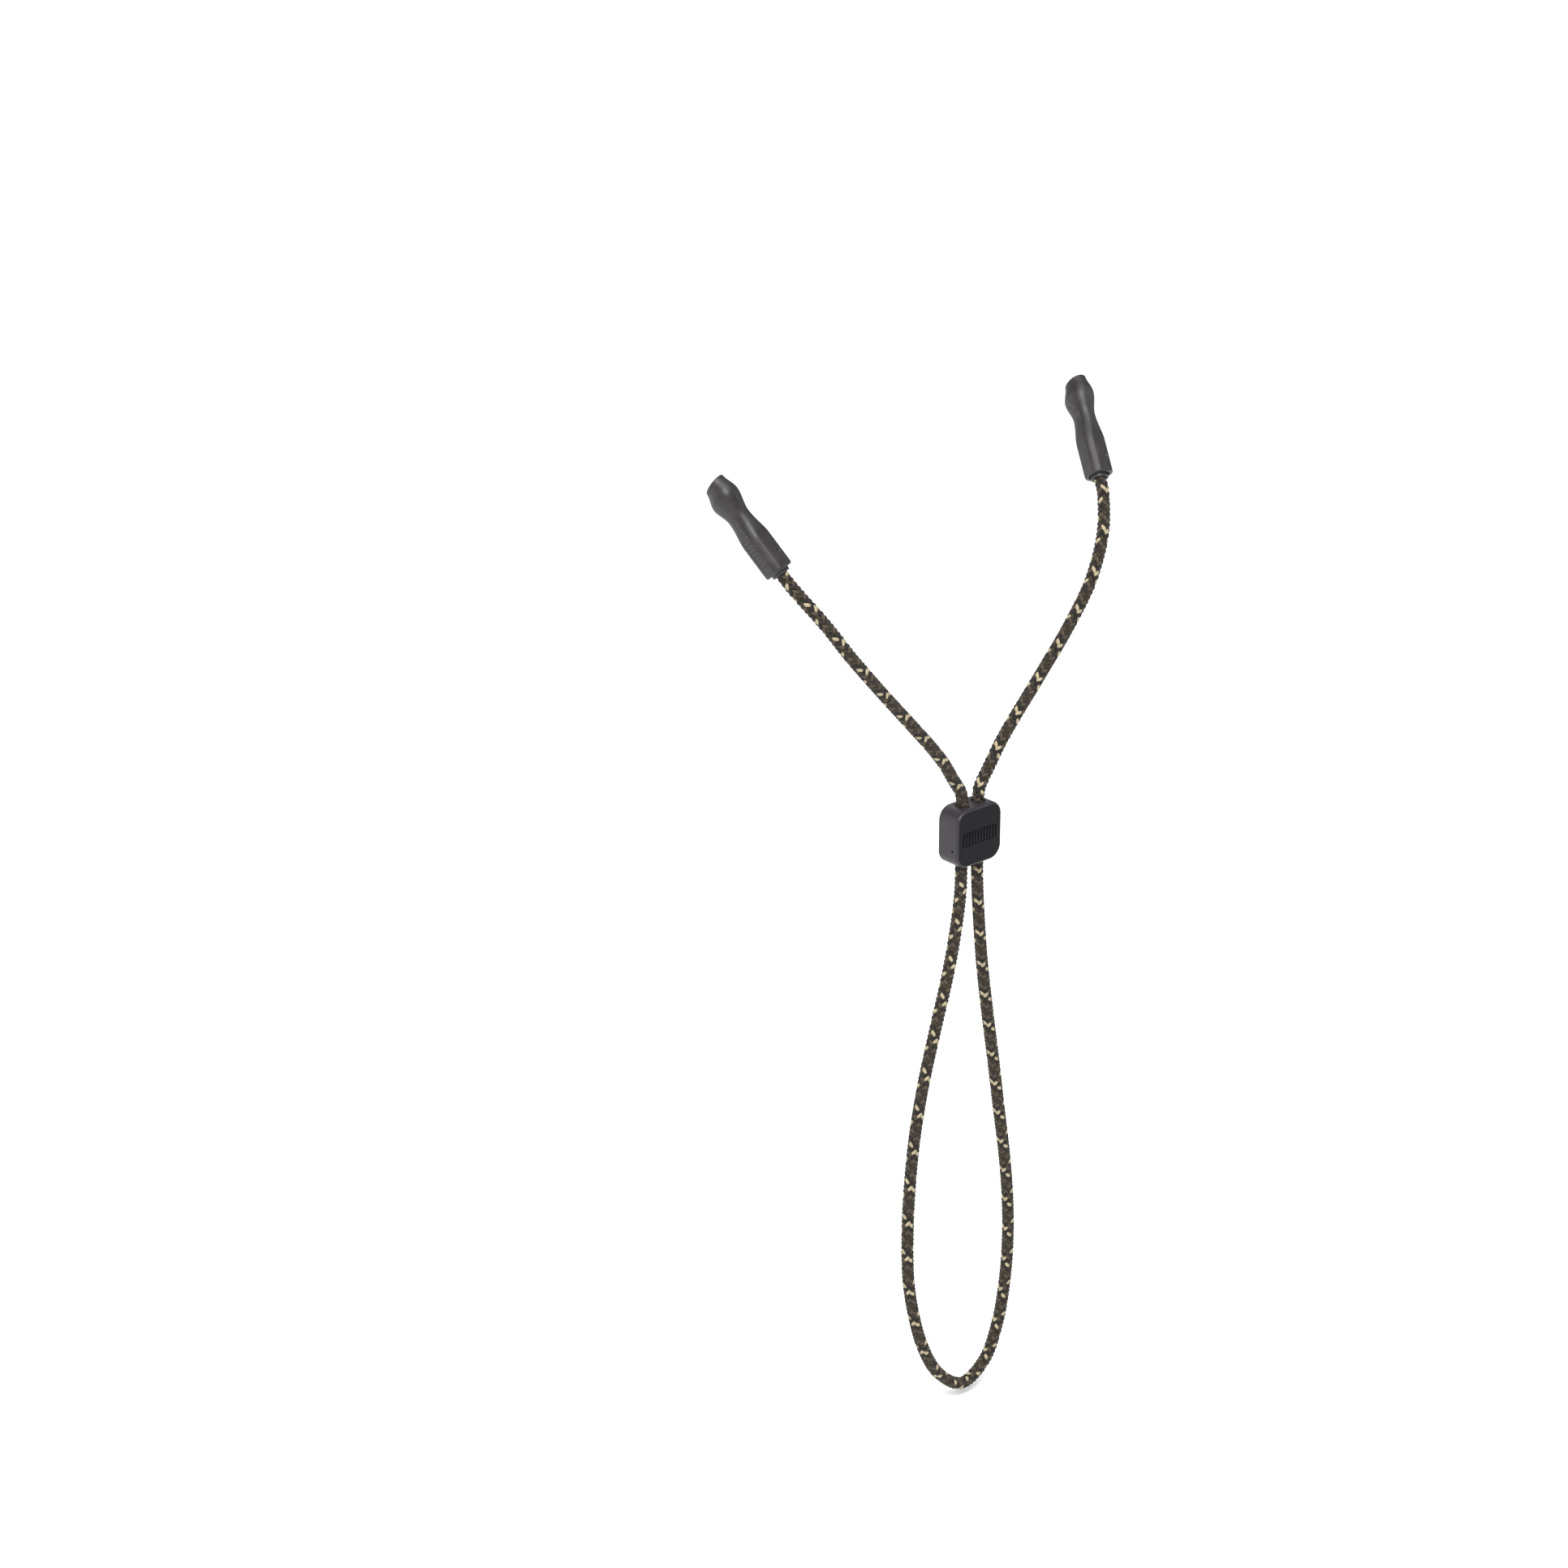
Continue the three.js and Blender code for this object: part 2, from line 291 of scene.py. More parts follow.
def between(stations: Sequence[Span], height: float) -> float:
    """Gives the value between stations, easing in and out of each one.

    Args:
        stations: Pairs of height and value, from low to high.
        height: Where to read.

    Returns:
        The value at that height.
    """
    if height <= stations[0][0]:
        return stations[0][1]
    for (low, low_value), (high, high_value) in zip(stations, stations[1:]):
        if height <= high:
            return low_value + (high_value - low_value) * smooth_share(height, low, high)
    return stations[-1][1]


def circle(radius: float, height: float, sides: int) -> Ring:
    """A level ring of points round the Z axis."""
    angles = [FULL_TURN * index / sides for index in range(sides)]
    return [Vector((radius * math.cos(a), radius * math.sin(a), height)) for a in angles]


def rounded_ring(reach: Span, radius: float, at: float, steps: int, above: float = 0.0) -> Ring:
    """An upright rounded rectangle of points, square to the Y axis.

    Args:
        reach: How far the middles of its corner arcs lie from its own middle, along X and Z.
        radius: Radius of the arcs.
        at: Its place along Y.
        steps: Steps in each arc.
        above: Height of its middle.

    Returns:
        The ring's points.
    """
    ring = []
    for number, (right, top) in enumerate(((1, 1), (-1, 1), (-1, -1), (1, -1))):
        for step in range(steps + 1):
            angle = math.pi / 2 * (number + step / steps)
            x = right * reach[0] + radius * math.cos(angle)
            z = top * reach[1] + radius * math.sin(angle) + above
            ring.append(Vector((x, at, z)))
    return ring


def quarter(steps: int) -> list[Span]:
    """Cosine and sine at even steps over a quarter turn, from (1, 0) to (0, 1)."""
    angles = [math.pi / 2 * index / steps for index in range(steps + 1)]
    return [(math.cos(a), math.sin(a)) for a in angles]


# ---------------------------------------------------------------- finishes


def blank_material(
    name: str,
) -> tuple[bpy.types.Material, bpy.types.NodeTree, bpy.types.NodeSocket]:
    """Starts a material with no shader yet.

    Args:
        name: The material's name.

    Returns:
        The material, its tree, and the output that gives a point's place on its own object.
    """
    material = bpy.data.materials.new(name)
    material.use_nodes = True
    tree = material.node_tree
    tree.nodes.clear()
    return material, tree, add_node(tree, "ShaderNodeTexCoord").outputs["Object"]


def surface(
    material: bpy.types.Material,
    relief: bpy.types.Node | bpy.types.NodeSocket,
    strength: float,
    depth: float,
    looks: dict,
) -> bpy.types.Material:
    """Ends a material with the bumps of its relief and one shader.

    Args:
        material: The material.
        relief: What gives the height of its surface.
        strength: How strongly the bumps show.
        depth: How deep they are, in millimetres.
        looks: The shader's other inputs, by name.

    Returns:
        The same material.
    """
    tree = material.node_tree
    heights = {"Height": relief, "Strength": strength, "Distance": depth * MM}
    bump = add_node(tree, "ShaderNodeBump", heights)
    shader = add_node(tree, "ShaderNodeBsdfPrincipled", {**looks, "Normal": bump})
    add_node(tree, "ShaderNodeOutputMaterial", {"Surface": shader})
    return material


@dataclass(frozen=True)
class MouldedRubber:
    """Thermoplastic rubber, injection moulded in a spark-eroded steel tool.

    To the eye it is a charcoal skin with a soft, wide highlight, a very fine sand-like grain, and
    slow patches of rubbed or dusty grain; a painted highlight makes its sharp outer edges a little
    paler.
    """

    name: str
    colour: str
    # the paler tone for dusty patches and for the painted highlight on sharp edges
    dust_and_highlight_tone: str
    roughness: float
    shine: float
    grain_spacing: float = 0.35  # mm; the real grain is about 0.05 mm, too fine to show
    bump_depth: float = 0.048
    patch_size: float = 5.0

    def material(self) -> bpy.types.Material:
        """Builds the material."""
        material, tree, place = blank_material(self.name)
        grain, patch = (
            add_node(tree, "ShaderNodeTexNoise", {"Vector": place, "Scale": fine, "Detail": detail})
            for fine, detail in (
                (1 / (self.grain_spacing * MM), 2.0),
                (1 / (self.patch_size * MM), 3.0),
            )
        )
        shape = add_node(tree, "ShaderNodeNewGeometry")
        # the first mask paints a highlight on sharp outer edges; the second marks real dusty
        # patches
        edge, dusty, gloss = (
            add_node(tree, "ShaderNodeMapRange", dict(zip(RANGE, row)))
            for row in (
                (shape.outputs["Pointiness"], 0.505, 0.56, 0.0, 0.55),
                (patch, 0.42, 0.72, 0.0, 0.4),
                (patch, 0.3, 0.7, self.roughness - 0.05, self.roughness + 0.08),
            )
        )
        # the stronger of the painted edge highlight and the dust
        dust_and_edge_highlight = add_node(tree, "ShaderNodeMath", {0: edge, 1: dusty}, operation="MAXIMUM")
        speckle = add_node(
            tree, "ShaderNodeMath", {0: grain, 1: 0.3, 2: dust_and_edge_highlight}, operation="MULTIPLY_ADD"
        )
        colours = {0: speckle, 6: linear(self.colour), 7: linear(self.dust_and_highlight_tone)}
        colour = add_node(tree, "ShaderNodeMix", colours, data_type="RGBA")
        looks = {
            "Base Color": colour.outputs[2],
            "Roughness": gloss,
            "IOR": 1.5,
            "Specular IOR Level": self.shine,
        }
        return surface(material, grain, 0.5, self.bump_depth, looks)


@dataclass(frozen=True)
class BraidedYarn:
    """Solution-dyed polyester multifilament yarn, braided on sixteen carriers.

    To the eye each float is a small soft bead with a dull silky highlight along its filaments, and
    painted shade darkens the grooves between the filaments. The yarns are near black, brown, olive
    and taupe, with one cream yarn each way. Where the two cream yarns come together they show as
    flecks.
    """

    name: str = "polyester_braid"
    rising: tuple[Yarn, ...] = (
        *(Yarn.CREAM, Yarn.BLACK, Yarn.BROWN, Yarn.TAUPE),
        *(Yarn.OLIVE, Yarn.BROWN, Yarn.TAUPE, Yarn.BLACK),
    )
    falling: tuple[Yarn, ...] = (
        *(Yarn.CREAM, Yarn.BLACK, Yarn.OLIVE, Yarn.TAUPE),
        *(Yarn.BROWN, Yarn.OLIVE, Yarn.TAUPE, Yarn.BLACK),
    )
    roughness: float = 0.78
    filaments: float = 14.0  # ridges round a yarn; the real ones are 0.02 mm, too fine to show
    filament_depth: float = 0.03
    soil_size: float = 9.0

    def material(self) -> bpy.types.Material:
        """Builds the material, which reads the attributes that the braid's tree stores."""
        material, tree, place = blank_material(self.name)
        carrier, around = (
            add_node(tree, "ShaderNodeAttribute", attribute_name=name).outputs["Fac"]
            for name in ("carrier", "around")
        )
        soil = add_node(
            tree,
            "ShaderNodeTexNoise",
            {"Vector": place, "Scale": 1 / (self.soil_size * MM), "Detail": 4.0},
        )
        thread = add_node(
            tree, "ShaderNodeMath", {0: around, 1: FULL_TURN * self.filaments}, operation="MULTIPLY"
        )
        ridge = add_node(tree, "ShaderNodeMath", {0: thread}, operation="SINE")
        carriers = [*self.rising, *self.falling]
        share, shade, cloudy = (
            add_node(tree, "ShaderNodeMapRange", dict(zip(RANGE, row)))
            for row in (
                (carrier, -0.5, len(carriers) - 0.5, 0.0, 1.0),
                # the filament ridges also darken the colour in their grooves: painted shade
                (ridge, -1.0, 1.0, 0.8, 1.0),
                (soil, 0.3, 0.7, 0.85, 1.05),
            )
        )
        dye = add_node(tree, "ShaderNodeValToRGB", {"Fac": share})
        dye.color_ramp.interpolation = "CONSTANT"
        stops = dye.color_ramp.elements
        stops[1].position = 1 / len(carriers)
        for index, yarn in enumerate(carriers):
            stop = stops[index] if index < 2 else stops.new(index / len(carriers))
            stop.color = linear(yarn.value)
        tone = add_node(tree, "ShaderNodeMath", {0: shade, 1: cloudy}, operation="MULTIPLY")
        colours = {0: 1.0, 6: dye, 7: tone}
        colour = add_node(tree, "ShaderNodeMix", colours, data_type="RGBA", blend_type="MULTIPLY")
        looks = {
            "Base Color": colour.outputs[2],
            "Roughness": self.roughness,
            "IOR": 1.57,
            "Specular IOR Level": 0.28,
            "Sheen Weight": 0.06,
            "Sheen Roughness": 0.4,
        }
        return surface(material, ridge, 0.4, self.filament_depth, looks)


@dataclass(frozen=True)
class SealedBraid:
    """The same polyester braid, squeezed and heat sealed inside the grip.

    To the eye it is a dull rope end with slanting yarn ridges in near black, brown and taupe.
    """

    name: str = "sealed_polyester_braid"
    ridge_spacing: float = 1.1
    ridge_depth: float = 0.1
    wave_scale: float = 0.314  # a wave texture's scale for ridges a unit apart
    roughness: float = 0.7

    def material(self) -> bpy.types.Material:
        """Builds the material."""
        material, tree, place = blank_material(self.name)
        scale = self.wave_scale / (self.ridge_spacing * MM)
        waves = {"Vector": place, "Scale": scale, "Distortion": 2.0, "Detail": 1.0}
        ridges = add_node(tree, "ShaderNodeTexWave", waves, bands_direction="DIAGONAL")
        dye = add_node(tree, "ShaderNodeValToRGB", {"Fac": ridges.outputs["Fac"]})
        stops = dye.color_ramp.elements
        stops[0].color = linear(Yarn.BLACK.value)
        stops[1].color = linear(Yarn.TAUPE.value)
        stops.new(0.5).color = linear(Yarn.BROWN.value)
        looks = {"Base Color": dye, "Roughness": self.roughness, "IOR": 1.57}
        return surface(material, ridges.outputs["Fac"], 0.6, self.ridge_depth, looks)


@dataclass(frozen=True)
class CrimpSteel:
    """Drawn steel tube, nickel plated and squeezed in a crimping die.

    To the eye it is a grey metal sleeve with faint drawing lines and small pressed dents.
    """

    name: str = "nickel_plated_steel"
    colour: str = "b9bbbd"
    roughness: float = 0.34
    line_spacing: float = 0.25
    line_stretch: Place = (1.0, 0.12, 0.12)
    dent_size: float = 1.4
    dent_depth: float = 0.06

    def material(self) -> bpy.types.Material:
        """Builds the material."""
        material, tree, place = blank_material(self.name)
        stretched = add_node(
            tree, "ShaderNodeMapping", {"Vector": place, "Scale": self.line_stretch}
        )
        lines = add_node(
            tree,
            "ShaderNodeTexNoise",
            {"Vector": stretched, "Scale": 1 / (self.line_spacing * MM), "Detail": 2.0},
        )
        dents = add_node(
            tree,
            "ShaderNodeTexVoronoi",
            {"Vector": place, "Scale": 1 / (self.dent_size * MM)},
            feature="SMOOTH_F1",
        )
        spread = (lines, 0.0, 1.0, self.roughness - 0.08, self.roughness + 0.14)
        gloss = add_node(tree, "ShaderNodeMapRange", dict(zip(RANGE, spread)))
        looks = {"Base Color": linear(self.colour), "Metallic": 1.0, "Roughness": gloss}
        return surface(material, dents, 0.4, self.dent_depth, looks)


@dataclass(frozen=True)
class StudioPaper:
    """Matt white background paper, which shows as a plain pale floor with faint fibres."""

    name: str = "background_paper"
    colour: str = "f6f6f6"
    roughness: float = 0.9
    fibre_size: float = 3.0
    fibre_depth: float = 0.05

    def material(self) -> bpy.types.Material:
        """Builds the material."""
        material, tree, place = blank_material(self.name)
        fibres = add_node(
            tree, "ShaderNodeTexNoise", {"Vector": place, "Scale": 1 / (self.fibre_size * MM)}
        )
        looks = {"Base Color": linear(self.colour), "Roughness": self.roughness}
        return surface(material, fibres, 0.05, self.fibre_depth, looks)


# The second colour of each is the paler tone for dust and for the painted edge highlight.
GRIP_RUBBER = MouldedRubber("matt_thermoplastic_rubber", "1b191a", "383535", 0.42, 0.38)
COLLAR_RUBBER = MouldedRubber("soft_collar_rubber", "1b191a", "312e2f", 0.4, 0.4)
SLIDER_RUBBER = MouldedRubber("satin_slider_rubber", "1f1c20", "38353a", 0.42, 0.28)
# The slider's back and front faces: the same rubber with a darker colour and weaker shine as
# painted shade, and a little smoother.
SHADED_SLIDER_FACE = MouldedRubber("smooth_face_painted_shade", "0a090c", "161418", 0.36, 0.09)


@dataclass
class Finishes:
    """Every material of the strap, built once."""

    grip: bpy.types.Material = field(default_factory=GRIP_RUBBER.material)
    collar: bpy.types.Material = field(default_factory=COLLAR_RUBBER.material)
    slider: bpy.types.Material = field(default_factory=SLIDER_RUBBER.material)
    shaded_slider_face: bpy.types.Material = field(default_factory=SHADED_SLIDER_FACE.material)
    braid: bpy.types.Material = field(default_factory=BraidedYarn().material)
    sealed: bpy.types.Material = field(default_factory=SealedBraid().material)
    crimp: bpy.types.Material = field(default_factory=CrimpSteel().material)


# ---------------------------------------------------------------- the camera and the studio


@dataclass
class Studio:
    """The camera, soft lights and pale floor.

    Each softbox has a name, a place and a side in metres, and a power in watts.
    """

    camera_place: Place = (-796.58, -840.99, 370.36)
    camera_aim: Place = (-64.80, -27.5, -71.28)
    lens: float = 108.98
    sensor: float = 36.0
    floor_gap: float = 2.5
    floor_size: float = 60000.0
    softboxes: tuple[tuple[str, Place, float, float], ...] = (
        ("key_softbox", (-0.95, -0.85, 1.15), 0.7, 32.0),
        ("fill_softbox", (1.1, -0.9, 0.5), 0.9, 3.0),
        ("back_softbox", (0.6, 1.3, 0.8), 0.9, 6.0),
        ("side_softbox", (-1.1, 1.0, 0.15), 0.9, 5.0),
    )
    softbox_aim: Place = (0.0, -0.0275, -0.12)  # in metres
    overhead: float = 2.2
    overhead_spread: float = math.radians(60)
    overhead_look: Place = (0.2, 0.25, -1.0)
    surroundings: float = 0.36

    @staticmethod
    def aimed(name: str, data: bpy.types.ID, place: Vector, look: Vector) -> bpy.types.Object:
        """Links a camera or light at a place, turned to look along a direction."""
        thing = bpy.data.objects.new(name, data)
        thing.location = place
        thing.rotation_euler = look.to_track_quat("-Z", "Y").to_euler()
        bpy.context.scene.collection.objects.link(thing)
        return thing

    def set_camera(self) -> None:
        """Makes the camera and hands it to the scene."""
        data = bpy.data.cameras.new("camera")
        data.lens = self.lens
        data.sensor_width = self.sensor
        data.clip_start = 0.01
        place = Vector(self.camera_place) * MM
        look = Vector(self.camera_aim) * MM - place
        bpy.context.scene.camera = self.aimed("camera", data, place, look)

    def set_lights(self) -> None:
        """Adds the lights and the white surroundings."""
        for name, place, side, power in self.softboxes:
            box = bpy.data.lights.new(name, "AREA")
            box.size = side
            box.energy = power
            self.aimed(name, box, Vector(place), Vector(self.softbox_aim) - Vector(place))
        sky = bpy.data.lights.new("overhead", "SUN")
        sky.energy = self.overhead
        sky.angle = self.overhead_spread
        self.aimed("overhead", sky, Vector(), Vector(self.overhead_look))
        world = bpy.data.worlds.new("studio")
        world.use_nodes = True
        background = world.node_tree.nodes["Background"].inputs
        background["Color"].default_value = (1.0, 1.0, 1.0, 1.0)
        background["Strength"].default_value = self.surroundings
        bpy.context.scene.world = world
        bpy.context.scene.view_settings.view_transform = "Standard"

    def lay_floor(self, lowest: float) -> None:
        """Lays the floor under the strap's lowest point, a height in metres."""
        half = self.floor_size * MM / 2
        level = lowest - self.floor_gap * MM
        sheet = bpy.data.meshes.new("floor")
        turns = ((-1, -1), (1, -1), (1, 1), (-1, 1))
        corners = [(x * half, y * half, level) for x, y in turns]
        sheet.from_pydata(corners, [], [(0, 1, 2, 3)])
        sheet.materials.append(StudioPaper().material())
        new_piece("floor", sheet)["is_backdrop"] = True


# ---------------------------------------------------------------- the braided cord


@dataclass
class CordRun:
    """One stretch of the cord: where it hangs, how it is wound and which fine points it takes."""

    name: str
    replaced: str
    bodies: tuple[Body, Body]
    turning: tuple[Vector, Vector]  # where the run passes from the first body to the second
    turn_length: float
    new_twist: float | None  # None where the braid runs on from the stretch before
    first: int
    last: int


@dataclass
class BraidedCord:
    """The whole cord, on one route from the left grip down to the loop and up to the right grip."""

    finishes: Finishes
    grips: dict[Side, "TempleGrip"]
    diameter: float = 3.0
    carriers: int = 8  # in each of the two directions
    upper_turn_length: float = 11.4  # where the grips pull the braid longer
    lower_turn_length: float = 10.4
    loop_turn_lengths: Span = (10.3, 9.2)  # down the left and up the right
    twist_rate: float = math.radians(0.55)  # how far the whole braid turns in each millimetre
    leg_twists: Span = (math.radians(141), math.radians(120))  # at the left grip, the right bore
    loop_twist: float = math.radians(149)  # at the slider
    yarn_radius: float = 1.27
    interlacing: float = 0.18
    swell: float = 0.45  # how much fuller a yarn is where it lies on top
    yarn_width: float = 0.7
    yarn_thickness: float = 0.4
    yarn_sides: int = 6
    steps_per_turn: int = 32
    core_diameter: float = 2.1
    core_sides: int = 8
    point_spacing: float = 0.6  # on the fine line
    depth: float = -27.5
    bore_offset: float = 2.85
    bore_points: tuple[float, ...] = (-102.0, -110.0)  # the slider's middle and underside
    slider_top: float = -94.0
    straight_from: float = -93.1  # the cord is upright from here down
    join_depth: float = 1.4  # how far inside the slider's bores the runs meet
    foot: float = -285.0  # below the loop
    upper: tuple[Place, ...] = (
        (52.6, -22.0, -28.0),
        (50.2, -24.2, -31.8),
        (47.2, -26.0, -36.4),
        (42.4, -27.6, -43.4),
    )
    join: Place = (39.8, -28.0, -46.6)
    lower: tuple[Place, ...] = (
        (37.2, -28.2, -49.7),
        (31.7, -28.4, -56.0),
        (26.2, -28.3, -62.0),
        (20.7, -28.2, -68.0),
        (15.2, -28.0, -74.0),
        (10.2, -27.8, -80.0),
        (6.2, -27.6, -86.0),
        (3.35, -27.5, -90.4),
    )
    loop_down: tuple[Span, ...] = (
        *((-3.0, -118.0), (-4.4, -128.0), (-7.0, -140.0), (-11.4, -155.0)),
        *((-15.6, -170.0), (-18.6, -185.0), (-20.2, -200.0), (-20.7, -213.0)),
        *((-20.2, -226.0), (-17.9, -238.0), (-14.2, -249.0), (-8.4, -258.6)),
    )
    loop_bottom: Span = (0.6, -264.7)
    loop_up: tuple[Span, ...] = (
        *((8.8, -260.6), (13.5, -251.0), (16.0, -239.0), (16.9, -227.0)),
        *((16.5, -214.0), (14.9, -200.0), (12.4, -185.0), (10.0, -170.0)),
        *((7.6, -156.0), (5.3, -141.0), (3.9, -128.0), (3.1, -118.0)),
    )

    def in_bore(self, side: Side, heights: Sequence[float]) -> list[Vector]:
        """Points on the axis of one of the slider's bores."""
        return [Vector((side.value * self.bore_offset, self.depth, z)) for z in heights]

    def leg(self, side: Side) -> list[Vector]:
        """One leg's points, from the grip's collar to where the runs meet in the bore."""
        grip = self.grips[side]
        start = grip.collar_stand_out
        hanging = (*self.upper, self.join, *self.lower)
        return [
            grip.from_exit(start),
            grip.from_exit(start + self.diameter),
            *(Vector((side.value * x, y, z)) for x, y, z in hanging),
            *self.in_bore(side, (self.straight_from, self.slider_top - self.join_depth)),
        ]

    def route(self) -> list[Vector]:
        """Every point of the cord, from the left grip to the right grip."""
        return [
            *self.leg(Side.LEFT),
            *self.in_bore(Side.LEFT, self.bore_points),
            *(Vector((x, self.depth, z)) for x, z in self.loop_down),
            Vector((self.loop_bottom[0], self.depth, self.loop_bottom[1])),
            *(Vector((x, self.depth, z)) for x, z in self.loop_up),
            *self.in_bore(Side.RIGHT, self.bore_points[::-1]),
            *reversed(self.leg(Side.RIGHT)),
        ]

    def fine_line(self, points: Sequence[Vector]) -> tuple[list[Vector], list[int]]:
        """Runs a centripetal curve through points.

        Args:
            points: The points to pass through.

        Returns:
            The new points, and the number of the new point at each given one.
        """
        extended = [2 * points[0] - points[1], *points, 2 * points[-1] - points[-2]]
        line: list[Vector] = []
        marks: list[int] = []
        for before, start, end, after in zip(extended, extended[1:], extended[2:], extended[3:]):
            pairs = ((before, start), (start, end), (end, after))
            into, across, out = (math.sqrt((b - a).length) for a, b in pairs)
            chord = (end - start) / across
            leave = (start - before) / into - (end - before) / (into + across) + chord
            arrive = chord - (after - start) / (across + out) + (after - end) / out
            leave, arrive = leave * across, arrive * across
            steps = max(2, round((end - start).length / self.point_spacing))
            marks.append(len(line))
            for step in range(steps):
                t = step / steps
                line.append(
                    start * (2 * t**3 - 3 * t**2 + 1)
                    + end * (3 * t**2 - 2 * t**3)
                    + leave * (t**3 - 2 * t**2 + t)
                    + arrive * (t**3 - t**2)
                )
        marks.append(len(line))
        line.append(points[-1].copy())
        return line, marks

    def tree(self) -> bpy.types.NodeTree:
        """Builds the tree that winds two sets of yarns over and under each other along a line.

        A yarn of one direction lies on top wherever the cosine of four times its angle round the
        cord is positive, and one of the other direction wherever it is negative, so each goes over
        two and under two, in columns along the cord.

        Returns:
            The tree.
        """
        numbers = (
            *("Turn Length", "Mean Radius", "Interlacing", "Swell", "Yarn Width", "Yarn Thickness"),
            *("Segment", "Core Radius", "Start Turn", "Start Twist", "Twist Rate"),
        )
        sizes = dict.fromkeys(numbers, "NodeSocketFloat")
        tree, size = geometry_tree(
            "braid_yarns", {**sizes, "Carriers": "NodeSocketInt", "Material": "NodeSocketMaterial"}
        )

        line = add_node(tree, "GeometryNodeMeshToCurve", {"Mesh": size["Geometry"]})
        segments = {"Curve": line, "Length": size["Segment"]}
        even = add_node(tree, "GeometryNodeResampleCurve", segments, mode="LENGTH")
        kept = add_node(tree, "GeometryNodeCaptureAttribute", {"Geometry": even})
        kept.capture_items.new("VECTOR", "Tangent")
        kept.capture_items.new("FLOAT", "Length")
        along_line = add_node(tree, "GeometryNodeSplineParameter")
        tree.links.new(
            add_node(tree, "GeometryNodeInputTangent").outputs[0], kept.inputs["Tangent"]
        )
        tree.links.new(along_line.outputs["Length"], kept.inputs["Length"])
        yarn_count = add_node(
            tree, "ShaderNodeMath", {0: size["Carriers"], 1: 2.0}, operation="MULTIPLY"
        )
        copies = add_node(
            tree,
            "GeometryNodeDuplicateElements",
            {"Geometry": kept.outputs["Geometry"], "Amount": yarn_count},
            domain="SPLINE",
        )

        numbers_worked_out = (
            ("share", "DIVIDE", "Duplicate Index", "Carriers"),
            ("reverse", "FLOOR", "share"),
            ("offset", "FRACT", "share"),
            ("way", "MULTIPLY_ADD", "reverse", -2.0, 1.0),
            ("travel", "DIVIDE", "Length", "Turn Length"),
            ("started", "ADD", "travel", "Start Turn"),
            ("turns", "ADD", "started", "offset"),
            ("full", "MULTIPLY", "turns", FULL_TURN),
            ("angle", "MULTIPLY", "full", "way"),
            ("phase", "MULTIPLY_ADD", "angle", 4.0, -math.pi / 4),
            ("wave", "COSINE", "phase"),
            ("rise", "MULTIPLY", "wave", "way"),
            ("radius", "MULTIPLY_ADD", "rise", "Interlacing", "Mean Radius"),
            ("fullness", "MULTIPLY_ADD", "rise", "Swell", 1.0),
            ("twist", "MULTIPLY_ADD", "Length", "Twist Rate", "Start Twist"),
            ("place", "ADD", "angle", "twist"),
            ("cosine", "COSINE", "place"),
            ("sine", "SINE", "place"),
        )
        vectors_worked_out = (
            ("along", "DOT_PRODUCT", "Tangent", FORWARD),
            ("lean", "SCALE", "Tangent", "along"),
            ("level", "SUBTRACT", FORWARD, "lean"),
            ("normal", "NORMALIZE", "level"),
            ("sideways", "CROSS_PRODUCT", "Tangent", "normal"),
            ("ahead", "SCALE", "normal", "cosine"),
            ("aside", "SCALE", "sideways", "sine"),
            ("outward", "ADD", "ahead", "aside"),
            ("shift", "SCALE", "outward", "radius"),
        )
        known = {out.name: out for out in (*size, *kept.outputs, *copies.outputs) if out.name}
        for kind, table in (
            ("ShaderNodeMath", numbers_worked_out),
            ("ShaderNodeVectorMath", vectors_worked_out),
        ):
            for name, operation, *terms in table:
                slots = (0, "Scale") if operation == "SCALE" else (0, 1, 2)
                inputs = {slot: known.get(term, term) for slot, term in zip(slots, terms)}
                step = add_node(tree, kind, inputs, operation=operation)
                known[name] = step.outputs["Value" if operation == "DOT_PRODUCT" else 0]

        wound = add_node(
            tree,
            "GeometryNodeSetPosition",
            {"Geometry": copies.outputs["Geometry"], "Offset": known["shift"]},
        )
        facing = add_node(
            tree,
            "GeometryNodeSetCurveNormal",
            {"Curve": wound, "Normal": known["outward"]},
            mode="FREE",
        )
        last_yarn = add_node(tree, "ShaderNodeMath", {0: yarn_count, 1: 1.0}, operation="SUBTRACT")
        oval = {"Resolution": self.yarn_sides, "Radius": 0.5}
        round_core = {"Resolution": self.core_sides, "Radius": size["Core Radius"]}
        named, dark, measured = (
            add_node(
                tree,
                "GeometryNodeStoreNamedAttribute",
                {"Geometry": geometry, "Name": name, "Value": value},
                data_type="FLOAT",
                domain="POINT",
            )
            for geometry, name, value in (
                (facing, "carrier", copies.outputs["Duplicate Index"]),
                (kept.outputs["Geometry"], "carrier", last_yarn),
                (
                    add_node(tree, "GeometryNodeCurvePrimitiveCircle", oval),
                    "around",
                    add_node(tree, "GeometryNodeSplineParameter").outputs["Factor"],
                ),
            )
        )
        flat = add_node(
            tree,
            "ShaderNodeCombineXYZ",
            {"X": size["Yarn Thickness"], "Y": size["Yarn Width"], "Z": 1.0},
        )
        profile = add_node(tree, "GeometryNodeTransform", {"Geometry": measured, "Scale": flat})
        yarns = add_node(
            tree,
            "GeometryNodeCurveToMesh",
            {
                "Curve": named,
                "Profile Curve": profile,
                "Scale": known["fullness"],
                "Fill Caps": True,
            },
        )
        section = add_node(tree, "GeometryNodeCurvePrimitiveCircle", round_core)
        core = add_node(
            tree,
            "GeometryNodeCurveToMesh",
            {"Curve": dark, "Profile Curve": section, "Fill Caps": True},
        )
        whole = add_node(tree, "GeometryNodeJoinGeometry")
        for part in (yarns, core):
            tree.links.new(part.outputs[0], whole.inputs[0])
